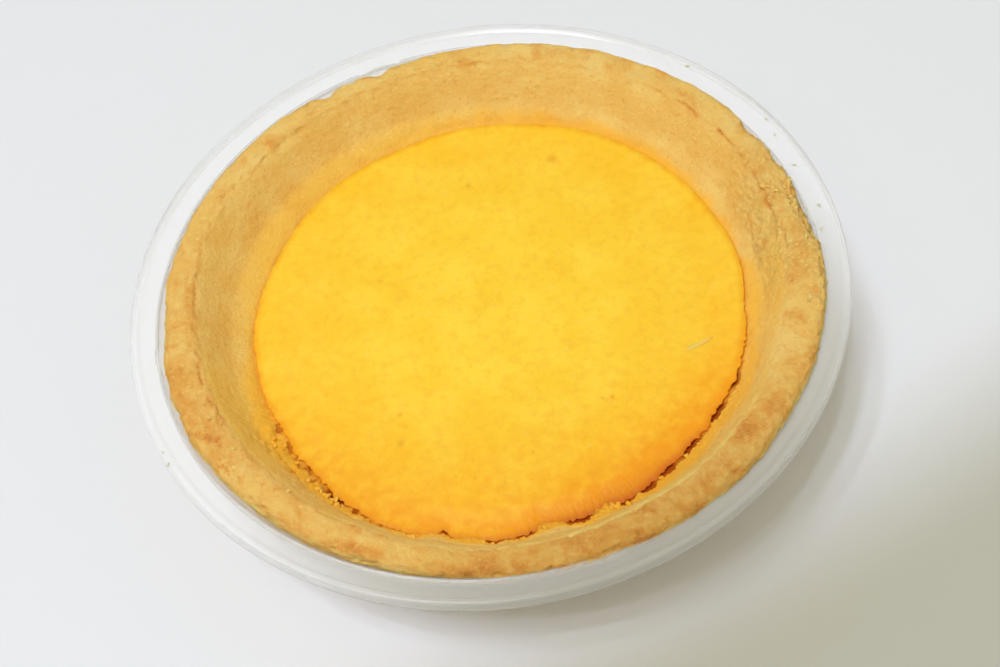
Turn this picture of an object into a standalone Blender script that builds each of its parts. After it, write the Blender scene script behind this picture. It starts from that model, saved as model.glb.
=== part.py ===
"""A cheese tart in its own clear cup: a shortcrust shell, its baked filling and a thin plastic dish.

Units are metres and +Z is up. The origin is the middle of the dish's underside, and -Y is the near side.
Azimuths are in degrees, anticlockwise from +X as seen from above.
"""

import math

import bmesh
import bpy
from mathutils import Vector, noise

MM = 0.001
FIT_GAP = 0.3 * MM

# The crust, whose rim is a squarish oval in section. It sits a little to one side in its dish.
TART_RADIUS = 40.15 * MM
TART_SHIFT = (0.25 * MM, 0.0)
RIM_TOP_HEIGHT = 21.0 * MM
RIM_HALF_WIDTH = 2.3 * MM
RIM_HALF_HEIGHT = 2.1 * MM
RIM_SQUARENESS = 2.5
RIM_INNER_ANGLE = 138.0
RIM_OUTER_ANGLE = -25.0
CRUST_BASE_RADIUS = 28.6 * MM
CRUST_FOOT_FILLET = 1.6 * MM
CRUST_FLOOR = 4.0 * MM
CRUST_CORNER = 2.2 * MM
CRUST_STEPS = 168

# The filling, which meets the crust's inner wall at its edge. The hollow that it fills is a little off centre
# in the crust and a little longer from front to back.
FILLING_RADIUS = 31.1 * MM
HOLLOW_SHIFT = (0.4 * MM, 0.2 * MM)
HOLLOW_STRETCH = 0.4 * MM
FILLING_EDGE_HEIGHT = 14.0 * MM
FILLING_DOME = 0.9 * MM
FILLING_EDGE_ROUND = 0.9 * MM
FILLING_STEPS = 108

# The dish, given by the face towards the tart. Its wall is behind that face.
DISH_WALL = 0.35 * MM
DISH_WALL_GAP = 0.6 * MM
DISH_BASE_RADIUS = 28.6 * MM
DISH_FOOT_FILLET = 1.3 * MM
FLANGE_HEIGHT = 18.9 * MM
COLLAR_FLARE = 0.2 * MM
FLANGE_CORNER = 0.6 * MM
BEAD_INNER_RADIUS = 42.4 * MM
BEAD_RISE = 0.25 * MM
LIP_RADIUS = 43.75 * MM
LIP_ROUND = 0.5 * MM
SKIRT_DEPTH = 1.6 * MM
DISH_STEPS = 72
LUG_AZIMUTHS = (102.0, 176.0, 282.0, 356.0)
LUG_SIZE = (1.0 * MM, 3.6 * MM, 1.5 * MM)
LUG_DROP = 1.1 * MM

# Relief of the crust. A dent is (azimuth, half width in degrees, depth).
RIM_DENTS = (
    (26.0, 3.0, 0.6 * MM),
    (103.5, 3.2, 0.8 * MM),
    (114.5, 3.0, 0.8 * MM),
    (174.0, 12.0, 0.3 * MM),
    (245.0, 34.0, 0.5 * MM),
)
RIM_INSET_ARC = (108.0, 13.0, 0.45 * MM)
RIM_LUMP = 0.28 * MM
RIM_WAVE = 0.3 * MM
CRAG = 0.32 * MM
CRAG_ARC = (5.0, 28.0)
INNER_WALL_LUMP = 0.3 * MM
CREASE_DEPTH = 0.35 * MM
CREASE_ARCS = ((33.0, 20.0), (182.0, 28.0))

# The crack between the filling and the crust: (azimuth, half width in degrees, opening).
CRACK_SPANS = (
    (211.0, 14.0, 0.6 * MM),
    (226.0, 10.0, 0.8 * MM),
    (263.0, 15.0, 0.5 * MM),
    (294.0, 12.0, 0.8 * MM),
    (321.0, 15.0, 0.6 * MM),
)
CRACK_DEPTH = 5.0 * MM
NEAR_ROLL = 0.5 * MM
NEAR_ROLL_WIDTH = 3.5 * MM

CRUST_COLOUR = (0.66, 0.38, 0.12, 1.0)
FILLING_COLOUR = (0.97, 0.56, 0.04, 1.0)
DISH_COLOUR = (0.93, 0.94, 0.93, 1.0)
DISH_ALPHA = 0.25


def clear_scene():
    for item in list(bpy.data.objects):
        bpy.data.objects.remove(item, do_unlink=True)


def new_collection(name):
    group = bpy.data.collections.new(name)
    bpy.context.scene.collection.children.link(group)
    return group


def make_material(name, colour, roughness, alpha=1.0):
    material = bpy.data.materials.new(name)
    material.use_nodes = True
    shader = material.node_tree.nodes["Principled BSDF"]
    shader.inputs["Base Color"].default_value = colour
    shader.inputs["Roughness"].default_value = roughness
    shader.inputs["Metallic"].default_value = 0.0
    shader.inputs["Alpha"].default_value = alpha
    material.diffuse_color = colour[:3] + (alpha,)
    return material


def signed_power(value, power):
    return math.copysign(abs(value) ** power, value)


def squarish_arc(centre, half_width, half_height, squareness, start, end, count):
    """Points of a superellipse's arc in the (radius, height) plane, from one angle to another in degrees."""
    points = []
    for index in range(count):
        angle = math.radians(start + (end - start) * index / (count - 1))
        radius = centre[0] + half_width * signed_power(math.cos(angle), 2.0 / squareness)
        height = centre[1] + half_height * signed_power(math.sin(angle), 2.0 / squareness)
        points.append((radius, height))
    return points


def between(start, end, count):
    """Points between two others, without them."""
    points = []
    for index in range(1, count + 1):
        share = index / (count + 1)
        points.append((start[0] + (end[0] - start[0]) * share, start[1] + (end[1] - start[1]) * share))
    return points


def rounded_corner(before, corner, after, size, count):
    """A corner of a profile cut back by size on both sides and rounded."""
    here = Vector(corner)
    into = (Vector(before) - here).normalized()
    out = (Vector(after) - here).normalized()
    points = []
    for index in range(count):
        share = index / (count - 1)
        place = here + into * size * (1.0 - share) ** 2 + out * size * share ** 2
        points.append((place.x, place.y))
    return points


def turned_mesh(name, profile, steps):
    """The surface that a profile of (radius, height) points leaves when it turns about +Z."""
    line = bpy.data.meshes.new(name + "_profile")
    points = [(radius, 0.0, height) for radius, height in profile]
    edges = [(index, index + 1) for index in range(len(points) - 1)]
    line.from_pydata(points, edges, [])
    guide = bpy.data.objects.new(name + "_guide", line)
    bpy.context.scene.collection.objects.link(guide)
    screw = guide.modifiers.new("Turn", "SCREW")
    screw.axis = "Z"
    screw.angle = 2.0 * math.pi
    screw.steps = steps
    screw.render_steps = steps
    screw.use_merge_vertices = True
    screw.merge_threshold = 0.0001
    bpy.context.view_layer.update()
    graph = bpy.context.evaluated_depsgraph_get()
    mesh = bpy.data.meshes.new_from_object(guide.evaluated_get(graph))
    bpy.data.objects.remove(guide, do_unlink=True)
    bpy.data.meshes.remove(line)
    mesh.name = name
    return mesh


def place_object(name, mesh, material, group):
    mesh.materials.clear()
    mesh.materials.append(material)
    mesh.shade_smooth()
    mesh.set_sharp_from_angle(angle=math.radians(40.0))
    made = bpy.data.objects.new(name, mesh)
    group.objects.link(made)
    return made


def smooth_step(low, high, value):
    share = min(max((value - low) / (high - low), 0.0), 1.0)
    return share * share * (3.0 - 2.0 * share)


def azimuth_of(point):
    return math.degrees(math.atan2(point.y, point.x)) % 360.0


def turn_between(azimuth, other):
    """The smaller angle between two azimuths."""
    return abs((azimuth - other + 180.0) % 360.0 - 180.0)


def bump(azimuth, middle, half_width):
    """A smooth hump, 1 at the middle and 0 at half_width from it."""
    return 1.0 - smooth_step(0.0, half_width, turn_between(azimuth, middle))


def lumps(point, size, seed):
    """Smooth noise from about -1 to 1, whose lumps are about size across."""
    return noise.noise(point / size + Vector((seed, seed * 1.7, seed * 0.3)))


def rim_centre():
    return (TART_RADIUS - RIM_HALF_WIDTH, RIM_TOP_HEIGHT - RIM_HALF_HEIGHT)


def rim_arc(count):
    """The rim's section, from its inner edge over the top to where the outer wall starts."""
    return squarish_arc(
        rim_centre(), RIM_HALF_WIDTH, RIM_HALF_HEIGHT, RIM_SQUARENESS, RIM_INNER_ANGLE, RIM_OUTER_ANGLE, count
    )


def inner_wall_slope():
    """Rise per unit of radius of the crust's inner wall, from the filling's edge to the rim."""
    ridge = rim_arc(2)[0]
    return (ridge[1] - FILLING_EDGE_HEIGHT) / (ridge[0] - FILLING_RADIUS)


def inner_wall_radius(height):
    return FILLING_RADIUS + (height - FILLING_EDGE_HEIGHT) / inner_wall_slope()


def crust_base_height():
    return DISH_WALL + FIT_GAP


def crust_floor_height():
    return crust_base_height() + CRUST_FLOOR


def outer_wall_radius(height):
    """Radius of the crust's outer wall, which runs straight from its foot to the rim."""
    top = rim_arc(2)[-1]
    share = (height - crust_base_height()) / (top[1] - crust_base_height())
    return CRUST_BASE_RADIUS + (top[0] - CRUST_BASE_RADIUS) * share


def crust_profile():
    floor = crust_floor_height()
    base = crust_base_height()
    inner_corner = (inner_wall_radius(floor), floor)
    edge = (FILLING_RADIUS, FILLING_EDGE_HEIGHT)
    rim = rim_arc(10)
    foot = (CRUST_BASE_RADIUS, base)
    corner = rounded_corner((0.0, floor), inner_corner, edge, CRUST_CORNER, 3)
    foot_round = rounded_corner(rim[-1], foot, (0.0, base), CRUST_FOOT_FILLET, 3)
    profile = [(0.0, floor)] + corner
    profile += between(corner[-1], edge, 1) + [edge]
    profile += between(edge, rim[0], 4) + rim
    profile += between(rim[-1], foot_round[0], 2) + foot_round + [(0.0, base)]
    return profile


def rim_share(point):
    """1 on the rim's outer half, falling to 0 below the flange and at the rim's inner edge."""
    radius = math.hypot(point.x, point.y)
    above = smooth_step(FLANGE_HEIGHT - 1.0 * MM, FLANGE_HEIGHT + 0.3 * MM, point.z)
    across = smooth_step(TART_RADIUS - 2.0 * RIM_HALF_WIDTH, TART_RADIUS - 0.3 * RIM_HALF_WIDTH, radius)
    return above * across


def crest_share(point):
    """1 on the rim and the inner wall just below it, falling to 0 at the filling and under the flange."""
    radius = math.hypot(point.x, point.y)
    middle = 0.5 * (inner_wall_radius(point.z) + outer_wall_radius(point.z))
    if radius > middle:
        return smooth_step(FLANGE_HEIGHT - 1.0 * MM, FLANGE_HEIGHT + 0.5 * MM, point.z)
    return smooth_step(FILLING_EDGE_HEIGHT, FILLING_EDGE_HEIGHT + 2.5 * MM, point.z)


def rim_set_back(azimuth):
    """How far the rim's outline is drawn in by its dents."""
    depth = RIM_INSET_ARC[2] * bump(azimuth, RIM_INSET_ARC[0], RIM_INSET_ARC[1])
    for middle, half_width, dent in RIM_DENTS:
        depth += dent * bump(azimuth, middle, half_width)
    return depth


def crust_relief(point, normal):
    """Where the baked, uneven crust has a point of the turned one."""
    azimuth = azimuth_of(point)
    radius = math.hypot(point.x, point.y)
    outward = Vector((point.x / radius, point.y / radius, 0.0))
    crest = crest_share(point)
    rim = rim_share(point)
    moved = point - outward * rim * (rim_set_back(azimuth) + RIM_LUMP * (0.5 + 0.5 * lumps(point, 9.0 * MM, 3.1)))
    moved.z += RIM_WAVE * lumps(Vector((outward.x, outward.y, 0.0)), 0.55, 7.7) * crest
    moved -= normal * crest * 0.5 * INNER_WALL_LUMP * (1.0 + lumps(point, 6.0 * MM, 11.3))
    crag = bump(azimuth, *CRAG_ARC) * crest
    moved -= normal * crag * CRAG * abs(lumps(point, 2.2 * MM, 19.9)) * 2.0
    crease = max(bump(azimuth, *span) for span in CREASE_ARCS)
    ridge = rim_arc(2)[0]
    near_ridge = 1.0 - smooth_step(0.0, 1.2 * MM, math.hypot(radius - ridge[0], point.z - ridge[1]))
    moved -= normal * crease * near_ridge * CREASE_DEPTH
    return moved


def hollow_share(point):
    """1 inside the crust's hollow, falling to 0 over the rim, and 0 outside."""
    radius = math.hypot(point.x, point.y)
    if point.z < crust_floor_height() - 0.5 * CRUST_FLOOR:
        return 0.0
    inside = radius < inner_wall_radius(point.z) + RIM_HALF_WIDTH
    return 1.0 - smooth_step(FILLING_EDGE_HEIGHT, RIM_TOP_HEIGHT, point.z) if inside else 0.0


def hollow_offset(point):
    """How far the hollow's surface lies from where a hollow in the middle would have it."""
    stretch = HOLLOW_STRETCH * point.y / FILLING_RADIUS
    return Vector((HOLLOW_SHIFT[0], HOLLOW_SHIFT[1] + stretch, 0.0))


def make_crust(group):
    mesh = turned_mesh("crust", crust_profile(), CRUST_STEPS)
    tart_shift = Vector(TART_SHIFT + (0.0,))
    places = []
    for vertex in mesh.vertices:
        point = vertex.co.copy()
        shift = tart_shift + hollow_offset(point) * hollow_share(point)
        if crest_share(point) > 0.0:
            point = crust_relief(point, vertex.normal.copy())
        places.append(point + shift)
    for vertex, place in zip(mesh.vertices, places):
        vertex.co = place
    mesh.update()
    return place_object("crust", mesh, make_material("crust", CRUST_COLOUR, 0.85), group)


def filling_profile():
    slope = inner_wall_slope()
    sideways_gap = FIT_GAP * math.hypot(1.0, slope) / slope
    bottom = crust_floor_height() + FIT_GAP
    edge = (FILLING_RADIUS - sideways_gap, FILLING_EDGE_HEIGHT)
    foot = (inner_wall_radius(bottom) - sideways_gap - FIT_GAP, bottom)
    top = []
    for share in (0.0, 0.22, 0.44, 0.64, 0.8, 0.91):
        radius = edge[0] * share
        top.append((radius, FILLING_EDGE_HEIGHT + FILLING_DOME * (1.0 - share * share)))
    rim = rounded_corner(top[-1], edge, foot, FILLING_EDGE_ROUND, 3)
    under = rounded_corner(edge, foot, (0.0, bottom), CRUST_CORNER, 2)
    return top + rim + between(rim[-1], under[0], 2) + under + [(0.0, bottom)]


def crack_opening(azimuth):
    """How far the filling has drawn back from the crust, beyond the gap that is there all round."""
    return max(width * bump(azimuth, middle, half) for middle, half, width in CRACK_SPANS)


def near_share(azimuth):
    return bump(azimuth, 275.0, 60.0)


def filling_relief(point):
    """Where the baked filling has a point of the turned one."""
    radius = math.hypot(point.x, point.y)
    if radius < 1.0 * MM:
        return point
    azimuth = azimuth_of(point)
    outward = Vector((point.x / radius, point.y / radius, 0.0))
    edge = smooth_step(FILLING_RADIUS - NEAR_ROLL_WIDTH, FILLING_RADIUS - 0.8 * MM, radius)
    top = smooth_step(FILLING_EDGE_HEIGHT - CRACK_DEPTH, FILLING_EDGE_HEIGHT - 1.0 * MM, point.z)
    ragged = 0.7 + 0.3 * lumps(point, 3.0 * MM, 5.5)
    moved = point - outward * crack_opening(azimuth) * ragged * top * smooth_step(0.8, 0.93, radius / FILLING_RADIUS)
    moved.z -= NEAR_ROLL * near_share(azimuth) * edge * top
    return moved


def make_filling(group):
    mesh = turned_mesh("filling", filling_profile(), FILLING_STEPS)
    tart_shift = Vector(TART_SHIFT + (0.0,))
    for vertex in mesh.vertices:
        point = vertex.co.copy()
        vertex.co = filling_relief(point) + tart_shift + hollow_offset(point)
    mesh.update()
    return place_object("filling", mesh, make_material("filling", FILLING_COLOUR, 0.5), group)


def collar_foot():
    """Where the dish's slanted wall turns up into its nearly upright collar."""
    widest = rim_arc(2)[-1]
    return (widest[0] + DISH_WALL_GAP, widest[1])


def dish_profile():
    """The face towards the tart: floor, wall, collar, flange, bead and the outside of the skirt."""
    floor = (0.0, DISH_WALL)
    foot = (DISH_BASE_RADIUS + DISH_WALL_GAP, DISH_WALL)
    collar = collar_foot()
    wall_top = (collar[0] + COLLAR_FLARE, FLANGE_HEIGHT)
    bead_start = (BEAD_INNER_RADIUS, FLANGE_HEIGHT)
    bead_top = FLANGE_HEIGHT + BEAD_RISE
    lip = (LIP_RADIUS, bead_top)
    skirt = (LIP_RADIUS, bead_top - SKIRT_DEPTH)
    profile = [floor] + rounded_corner(floor, foot, collar, DISH_FOOT_FILLET, 3) + [collar]
    profile += rounded_corner(collar, wall_top, bead_start, FLANGE_CORNER, 3)
    profile += [bead_start, (BEAD_INNER_RADIUS + 0.3 * MM, bead_top)]
    profile += rounded_corner(bead_start, lip, skirt, LIP_ROUND, 3) + [skirt]
    return profile


def make_lug(azimuth, group):
    """One of the small bulges under the flange that keep stacked cups apart."""
    mesh = bpy.data.meshes.new("lug")
    shape = bmesh.new()
    bmesh.ops.create_uvsphere(shape, u_segments=10, v_segments=6, radius=0.5)
    bmesh.ops.scale(shape, vec=LUG_SIZE, verts=shape.verts)
    shape.to_mesh(mesh)
    shape.free()
    lug = bpy.data.objects.new("lug", mesh)
    angle = math.radians(azimuth)
    radius = collar_foot()[0] + COLLAR_FLARE + DISH_WALL
    lug.location = (radius * math.cos(angle), radius * math.sin(angle), FLANGE_HEIGHT - LUG_DROP)
    lug.rotation_euler = (0.0, 0.0, angle)
    lug.hide_render = True
    lug.display_type = "WIRE"
    group.objects.link(lug)
    return lug


def make_dish(group, lug_group):
    mesh = turned_mesh("dish", dish_profile(), DISH_STEPS)
    dish = place_object("dish", mesh, make_material("dish", DISH_COLOUR, 0.12, DISH_ALPHA), group)
    shell = dish.modifiers.new("Wall", "SOLIDIFY")
    shell.thickness = DISH_WALL
    shell.offset = -1.0
    shell.use_even_offset = True
    for azimuth in LUG_AZIMUTHS:
        make_lug(azimuth, lug_group)
    join = dish.modifiers.new("Lugs", "BOOLEAN")
    join.operation = "UNION"
    join.operand_type = "COLLECTION"
    join.collection = lug_group
    join.solver = "EXACT"
    return dish


def main():
    clear_scene()
    group = new_collection("Cheese tart")
    lug_group = new_collection("Lugs")
    make_crust(group)
    make_filling(group)
    make_dish(group, lug_group)


if __name__ == "__main__":
    main()
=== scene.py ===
"""The looks of a cheese tart in its clear cup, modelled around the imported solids.

Units are metres and +Z is up. The origin is the middle of the cup's underside, and -Y is the near side.
Azimuths are in degrees, anticlockwise from +X as seen from above. A place along the crust's section is a
length from the filling's edge: up the inner wall, over the rim and down the outer wall. Below the edge it is
negative. An arc is an azimuth and half its width in degrees.
"""

import math
import random

import bmesh
import bpy
from mathutils import Matrix, Vector, noise
from mathutils.bvhtree import BVHTree


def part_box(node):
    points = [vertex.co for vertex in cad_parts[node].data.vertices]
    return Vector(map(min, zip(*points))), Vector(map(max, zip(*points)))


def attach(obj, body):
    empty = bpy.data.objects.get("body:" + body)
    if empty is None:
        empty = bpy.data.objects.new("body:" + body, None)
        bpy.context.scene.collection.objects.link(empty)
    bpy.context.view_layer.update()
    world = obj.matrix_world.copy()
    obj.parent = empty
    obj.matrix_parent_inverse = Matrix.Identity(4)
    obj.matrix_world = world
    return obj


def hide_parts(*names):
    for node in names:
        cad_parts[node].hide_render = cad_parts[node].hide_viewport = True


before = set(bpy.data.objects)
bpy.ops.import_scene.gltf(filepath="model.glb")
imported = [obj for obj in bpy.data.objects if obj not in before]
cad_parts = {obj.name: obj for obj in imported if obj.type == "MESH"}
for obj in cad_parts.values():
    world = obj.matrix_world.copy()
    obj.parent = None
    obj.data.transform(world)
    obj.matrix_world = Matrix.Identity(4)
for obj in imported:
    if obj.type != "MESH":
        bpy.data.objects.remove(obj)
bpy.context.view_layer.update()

bl_info = {
    "name": "Cheese Tart",
    "version": (1, 0, 0),
    "blender": (4, 5, 0),
    "location": "3D View > Sidebar > Tart",
    "description": "Makes a baked cheese tart in its clear cup, with crumbs, and its stage",
    "category": "Add Mesh",
}

MM = 0.001
BODY = "root"
WELD = 0.0001 * MM


def in_metres(columns, rows):
    """Rows whose lengths, in the columns given, are written in millimetres."""
    return tuple(tuple(v * MM if i in columns else v for i, v in enumerate(row)) for row in rows)


# The crust's turned form. The tart sits a little to one side in its cup.
TART_SHIFT = (0.25 * MM, 0.0)
RIM_SQUARENESS = 2.6
RIM_INNER_ANGLE = 138.0
RIM_OUTER_ANGLE = -25.0
CRUST_BASE_RADIUS = 28.6 * MM
CRUST_FOOT_FILLET = 1.6 * MM
CRUST_FLOOR = 4.0 * MM
CRUST_CORNER = 2.2 * MM
CRUST_STEPS = 800
NEAR_CROWDING = (285.0, 0.45)
FIT_GAP = 0.3 * MM

# The hollow that the filling fills is a little off centre and a little longer from front to back.
HOLLOW_SHIFT = (0.4 * MM, 0.2 * MM)
HOLLOW_STRETCH = 0.4 * MM
FILLING_EDGE_ROUND = 0.35 * MM
FILLING_STEPS = 800

# The cup's section, given by the face towards the tart.
CUP_WALL_GAP = 0.2 * MM
CUP_BASE_RADIUS = 28.6 * MM
CUP_FOOT_FILLET = 1.3 * MM
COLLAR_FLARE = 0.12 * MM
FLANGE_CORNER = 0.4 * MM
BEAD_RISE = 0.25 * MM
LIP_ROUND = 0.5 * MM
CUP_STEPS = 576
LUG_AZIMUTHS = (102.0, 181.0, 282.0, 1.0)
LUG_SIZE = (0.35 * MM, 3.6 * MM, 1.5 * MM)
LUG_DROP = 1.3 * MM

# The crust's large relief. A dent is (azimuth, half width in degrees, depth).
RIM_DENTS = in_metres((2,), (
    (26, 3, 0.6), (103.5, 3.2, 0.8), (114.5, 3, 0.8), (176, 12, 0.55), (240, 14, 0.15),
))
RIM_INSET_ARC = (102.0, 25.0)
RIM_INSET = 0.65 * MM
NEAR_SLUMP = (266.0, 56.0)
NEAR_SLUMP_DEPTH = 0.9 * MM
RIM_LUMP = 0.22 * MM
RIDGE_WIDTH = 3.6 * MM
RIM_WAVE = 0.3 * MM
CRAG_GRAIN = 0.28 * MM
EDGE_CRUMBLE = 0.2 * MM
INNER_WALL_LUMP = 0.3 * MM

# Where the crust's marks lie, as arcs. Some of them place painted light and shade.
CRAG_ARC = (5.0, 28.0)
CRUMBLE_ARC = (355.0, 60.0)
CALM_ARC = (255.0, 45.0)
FISSURE_ARCS = ((200.0, 45.0), (355.0, 40.0))
STREAK_ARC = (215.0, 30.0)
FEW_TEETH_ARC = (186.0, 24.0)
FAR_SIDE = (125.0, 95.0)
FAR_STAIN_ARC = (140.0, 60.0)
LESS_STAIN_ARC = (350.0, 50.0)
# The first of these arcs makes the near-right rim browner, partly as painted shade.
TOASTED_AND_SHADED_ARCS = ((288.0, 75.0), (195.0, 55.0))
LESS_MOTTLED_ARC = (185.0, 60.0)
LESS_PALE_ARC = (270.0, 60.0)
# PALE_SIDE_ARC is where the outer face is painted paler, as painted light on a side that the lamps leave in
# shade.
PALE_SIDE_ARC = (345.0, 60.0)
# PALE_RIDGE_ARC is where a painted highlight runs along the ridge.
PALE_RIDGE_ARC = (290.0, 60.0)
# The near-left arc of KHAKI_ARCS paints bounce light on the inner wall, which faces away from the lamps.
KHAKI_ARCS = ((200.0, 30.0), (350.0, 24.0))

# Where the filling rolls over at its edge, is rough, and is darker from toasting and painted shade, as arcs.
ROLL_ARC = (275.0, 60.0)
ROUGH_ARC = (215.0, 40.0)
TOASTED_AND_SHADED_EDGE_ARCS = ((300.0, 60.0), (225.0, 50.0))

# The crust's fine relief.
GRAIN_SIZE = 1.1 * MM
GRAIN_DEPTH = 0.13 * MM
GRIT_SIZE = 1.7 * MM
GRIT_DEPTH = 0.42 * MM
DIMPLE_SIZE = 3.2 * MM
DIMPLE_DEPTH = 0.35 * MM
FISSURE_DEPTH = 0.22 * MM
PIT_SIZE = 1.1 * MM
PIT_DEPTH = 0.25 * MM
STREAK_LENGTH = 3.0 * MM
STREAK_WIDTH = 0.6 * MM
STREAK_DEPTH = 0.14 * MM
CRUMB_SIZE = 1.0 * MM
CRUMB_HEIGHT = 0.52 * MM
CAVE_DEPTH = 0.5 * MM
FIBRE_LENGTH = 2.2 * MM
FIBRE_WIDTH = 0.75 * MM
FIBRE_DEPTH = 0.34 * MM
FLAKE_SIZE = 3.0 * MM
FLAKE_STEP = 0.16 * MM

# How far the rim's outer edge reaches out over the cup's flange: (azimuth, reach).
RIM_REACH = in_metres((1,), (
    (0, 0.3), (3, 0.1), (25, 0.1), (38, 0.5), (50, 0.1), (70, 0.25), (85, 0), (125, 0.1), (150, 0.15),
    (200, 0.65), (215, 0.45), (235, 0.3), (250, 0.35), (262, 0.5), (272, 0.75), (282, 0.95), (292, 1.35),
    (310, 1.5), (325, 1.25), (340, 1.15), (350, 1.1), (356, 0.7), (360, 0.3),
))

# How much further in than on a round tart the rim's inner ridge lies: (azimuth, length).
RIDGE_SHIFT = in_metres((1,), (
    (0, 0.55), (15, 0.5), (40, 0.1), (160, 0.1), (178, 0.7), (212, 0.6), (232, 0.1), (262, -0.35),
    (305, -0.4), (325, 0), (345, 0.4), (360, 0.55),
))

# Creases that run round the crust: (azimuth, half width in degrees, place along the section, depth,
# half width along the section).
CREASES = in_metres((2, 3, 4), (
    (90, 105, 0.35, 0.2, 0.8), (33, 22, 8.3, 0.3, 0.45), (194, 16, 8.5, 0.16, 0.4),
    (168, 14, 8.2, 0.1, 0.5), (199, 9, 7.5, 0.18, 0.22), (207, 8, 6.9, 0.18, 0.22),
))

# The torn, custard-stained band above the filling: (azimuth, half width in degrees, height along the wall).
TORN_SPANS = in_metres((2,), (
    (192, 16, 1.6), (208, 16, 3.6), (222, 16, 3.3), (262, 34, 1.3), (300, 26, 6.5), (322, 24, 5.5),
    (345, 22, 2.4), (90, 110, 1.2),
))

# How rough the torn band is: (azimuth, half width in degrees, strength).
TORN_ROUGHNESS = (
    (90, 120, 0.08), (210, 26, 0.8), (230, 20, 0.7), (262, 22, 0.35), (288, 12, 0.6), (315, 30, 0.3),
    (345, 25, 0.2),
)

# Browner patches: (azimuth, half width in degrees, place along the section, half length, strength).
BROWN_PATCHES = in_metres((2, 3), (
    (192, 13, 11, 1.9, 0.6), (205, 8, 10, 1.5, 0.5), (172, 9, 8.9, 1.2, 0.7), (228, 6, 12, 1.6, 0.6),
    (240, 9, 11.5, 1.8, 1), (258, 7, 12, 1.7, 1), (287, 5, 12.7, 1.3, 1.2), (298, 5, 13.3, 1.1, 1.6),
    (307, 5, 13.3, 1, 1.6), (318, 6, 10.5, 1.4, 0.5), (338, 5, 13.6, 0.9, 0.8), (354, 7, 13.8, 0.8, 0.8),
    (6, 6, 13.8, 0.8, 0.7), (17, 5, 8.6, 1.2, 0.8), (40, 12, 9.6, 1.2, 0.4), (137, 6, 10.5, 1.4, 0.5),
    (146, 5, 9.6, 1.2, 0.5),
))

# The line where the filling ends: (azimuth, how far it lies inside the wall, width of the crack there).
CRACK_LINE = in_metres((1, 2), (
    (0, 0.25, 0.1), (6, 0.4, 0), (20, 0.75, 0), (45, 0.7, 0), (62, 0.6, 0), (76, 0.9, 0), (90, 0.8, 0),
    (105, 1.15, 0), (125, 1, 0), (135, 1.15, 0), (145, 1.4, 0.02), (156, 1.35, 0.05), (165, 1.2, 0.08),
    (173, 1, 0.2), (182, 1.1, 0.4), (190, 1, 0.45), (196, 1, 0.4), (200, 1.1, 0.5), (205, 0.9, 0.4),
    (209, 0.5, 0.35), (214, 0.45, 0.7), (218, 0.2, 0.6), (221.5, -0.1, 0.7), (225, -0.5, 0.3),
    (229, -0.6, 0.28), (233, -0.8, 0.12), (238, -1.15, 0.2), (245.5, -1, 0.22), (248, -0.5, 0.12),
    (250.5, -0.1, 0.42), (253, -0.7, 0.36), (256.5, -0.85, 0.42), (259, -1, 0.12), (261, -1.2, 0.48),
    (264, -0.95, 0.2), (267.5, -0.85, 0.5), (269.7, -0.45, 0.35), (271.5, -0.05, 0.55),
    (275, -0.05, 0.25), (278, -0.3, 0.65), (281, -0.5, 0.8), (284, -0.3, 0.2), (287, -0.1, 0.3),
    (290.5, -0.7, 0.75), (293, -0.5, 0.1), (296, -0.65, 0.75), (299, -0.35, 0.45), (302.5, -0.15, 0.7),
    (306.5, -0.2, 0.5), (310, 0, 0.75), (313, -0.05, 0.45), (316, 0, 0.2), (319.5, 0.05, 0.7),
    (325, 0, 0.45), (329.5, -0.1, 0.65), (333.5, 0, 0.3), (338, 0.15, 0.35), (342, 0.2, 0.2),
    (345.5, 0.4, 0.14), (350, 0.65, 0.14), (355, 0.45, 0.25), (360, 0.25, 0.1),
))
CRACK_DEPTH = 2.2 * MM
SHALLOW_CRACK = 0.3 * MM
DEEP_CRACK = 0.95 * MM

# Where the crack is deep and painted darker as shade: (azimuth, half width in degrees).
DEEP_SPOTS = (
    (224, 4), (251, 2.5), (262, 4), (268, 4), (279.5, 5), (290.5, 3.5), (296, 3.5), (302, 4),
    (309.5, 4.5), (320.5, 5), (330, 4),
)

# How brown the crack's shallow parts are: (azimuth, share).
CRACK_STAIN = (
    (0, 0.6), (40, 0.2), (140, 0.2), (173, 0.5), (205, 0.5), (222, 0.6), (236, 0.5), (286, 0.5),
    (292, 0.75), (345, 0.75), (360, 0.6),
)

LEDGE_RISE = 2.3 * MM
HOLLOW_RISE = 6.0 * MM
TOOTH_SIZE = 0.55 * MM
TOOTH_DEPTH = 0.3 * MM
TOOTH_REACH = 0.6 * MM
FILLING_OVERLAP = 0.06 * MM
NEAR_ROLL = 0.5 * MM
NEAR_ROLL_WIDTH = 3.5 * MM

# Marks in the filling's top: (x, y, radius, depth).
FILLING_PITS = in_metres((0, 1, 2, 3), (
    (-13.3, 7.8, 0.55, 0.22), (-0.5, 20.4, 0.7, 0.2), (-13.3, -12.5, 0.5, 0.16), (10.8, -15.4, 0.4, 0.16),
    (11.9, -15.4, 0.5, 0.18), (10.6, 22.4, 1.3, 0.12), (-13.8, -16.5, 0.9, 0.08),
))

FILLING_NICKS = in_metres((0, 1, 2, 3), (
    (-7.9, -22.4, 0.35, 0.12), (-5.7, -23.1, 0.4, 0.1), (-2.3, -24.4, 0.35, 0.1), (1.5, -21, 0.3, 0.08),
))

# Crumbs in the crack: (azimuth, half width in degrees, count, lowest and highest place along the wall).
CRACK_CRUMB_SPANS = in_metres((3, 4), (
    (209, 16, 12, 0, 1.6), (226, 10, 16, 0, 1.4), (246, 9, 12, -0.2, 0.8), (267, 10, 6, -0.1, 0.6),
    (288, 7, 14, -0.1, 0.8), (312, 16, 8, 0, 0.8),
))

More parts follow.
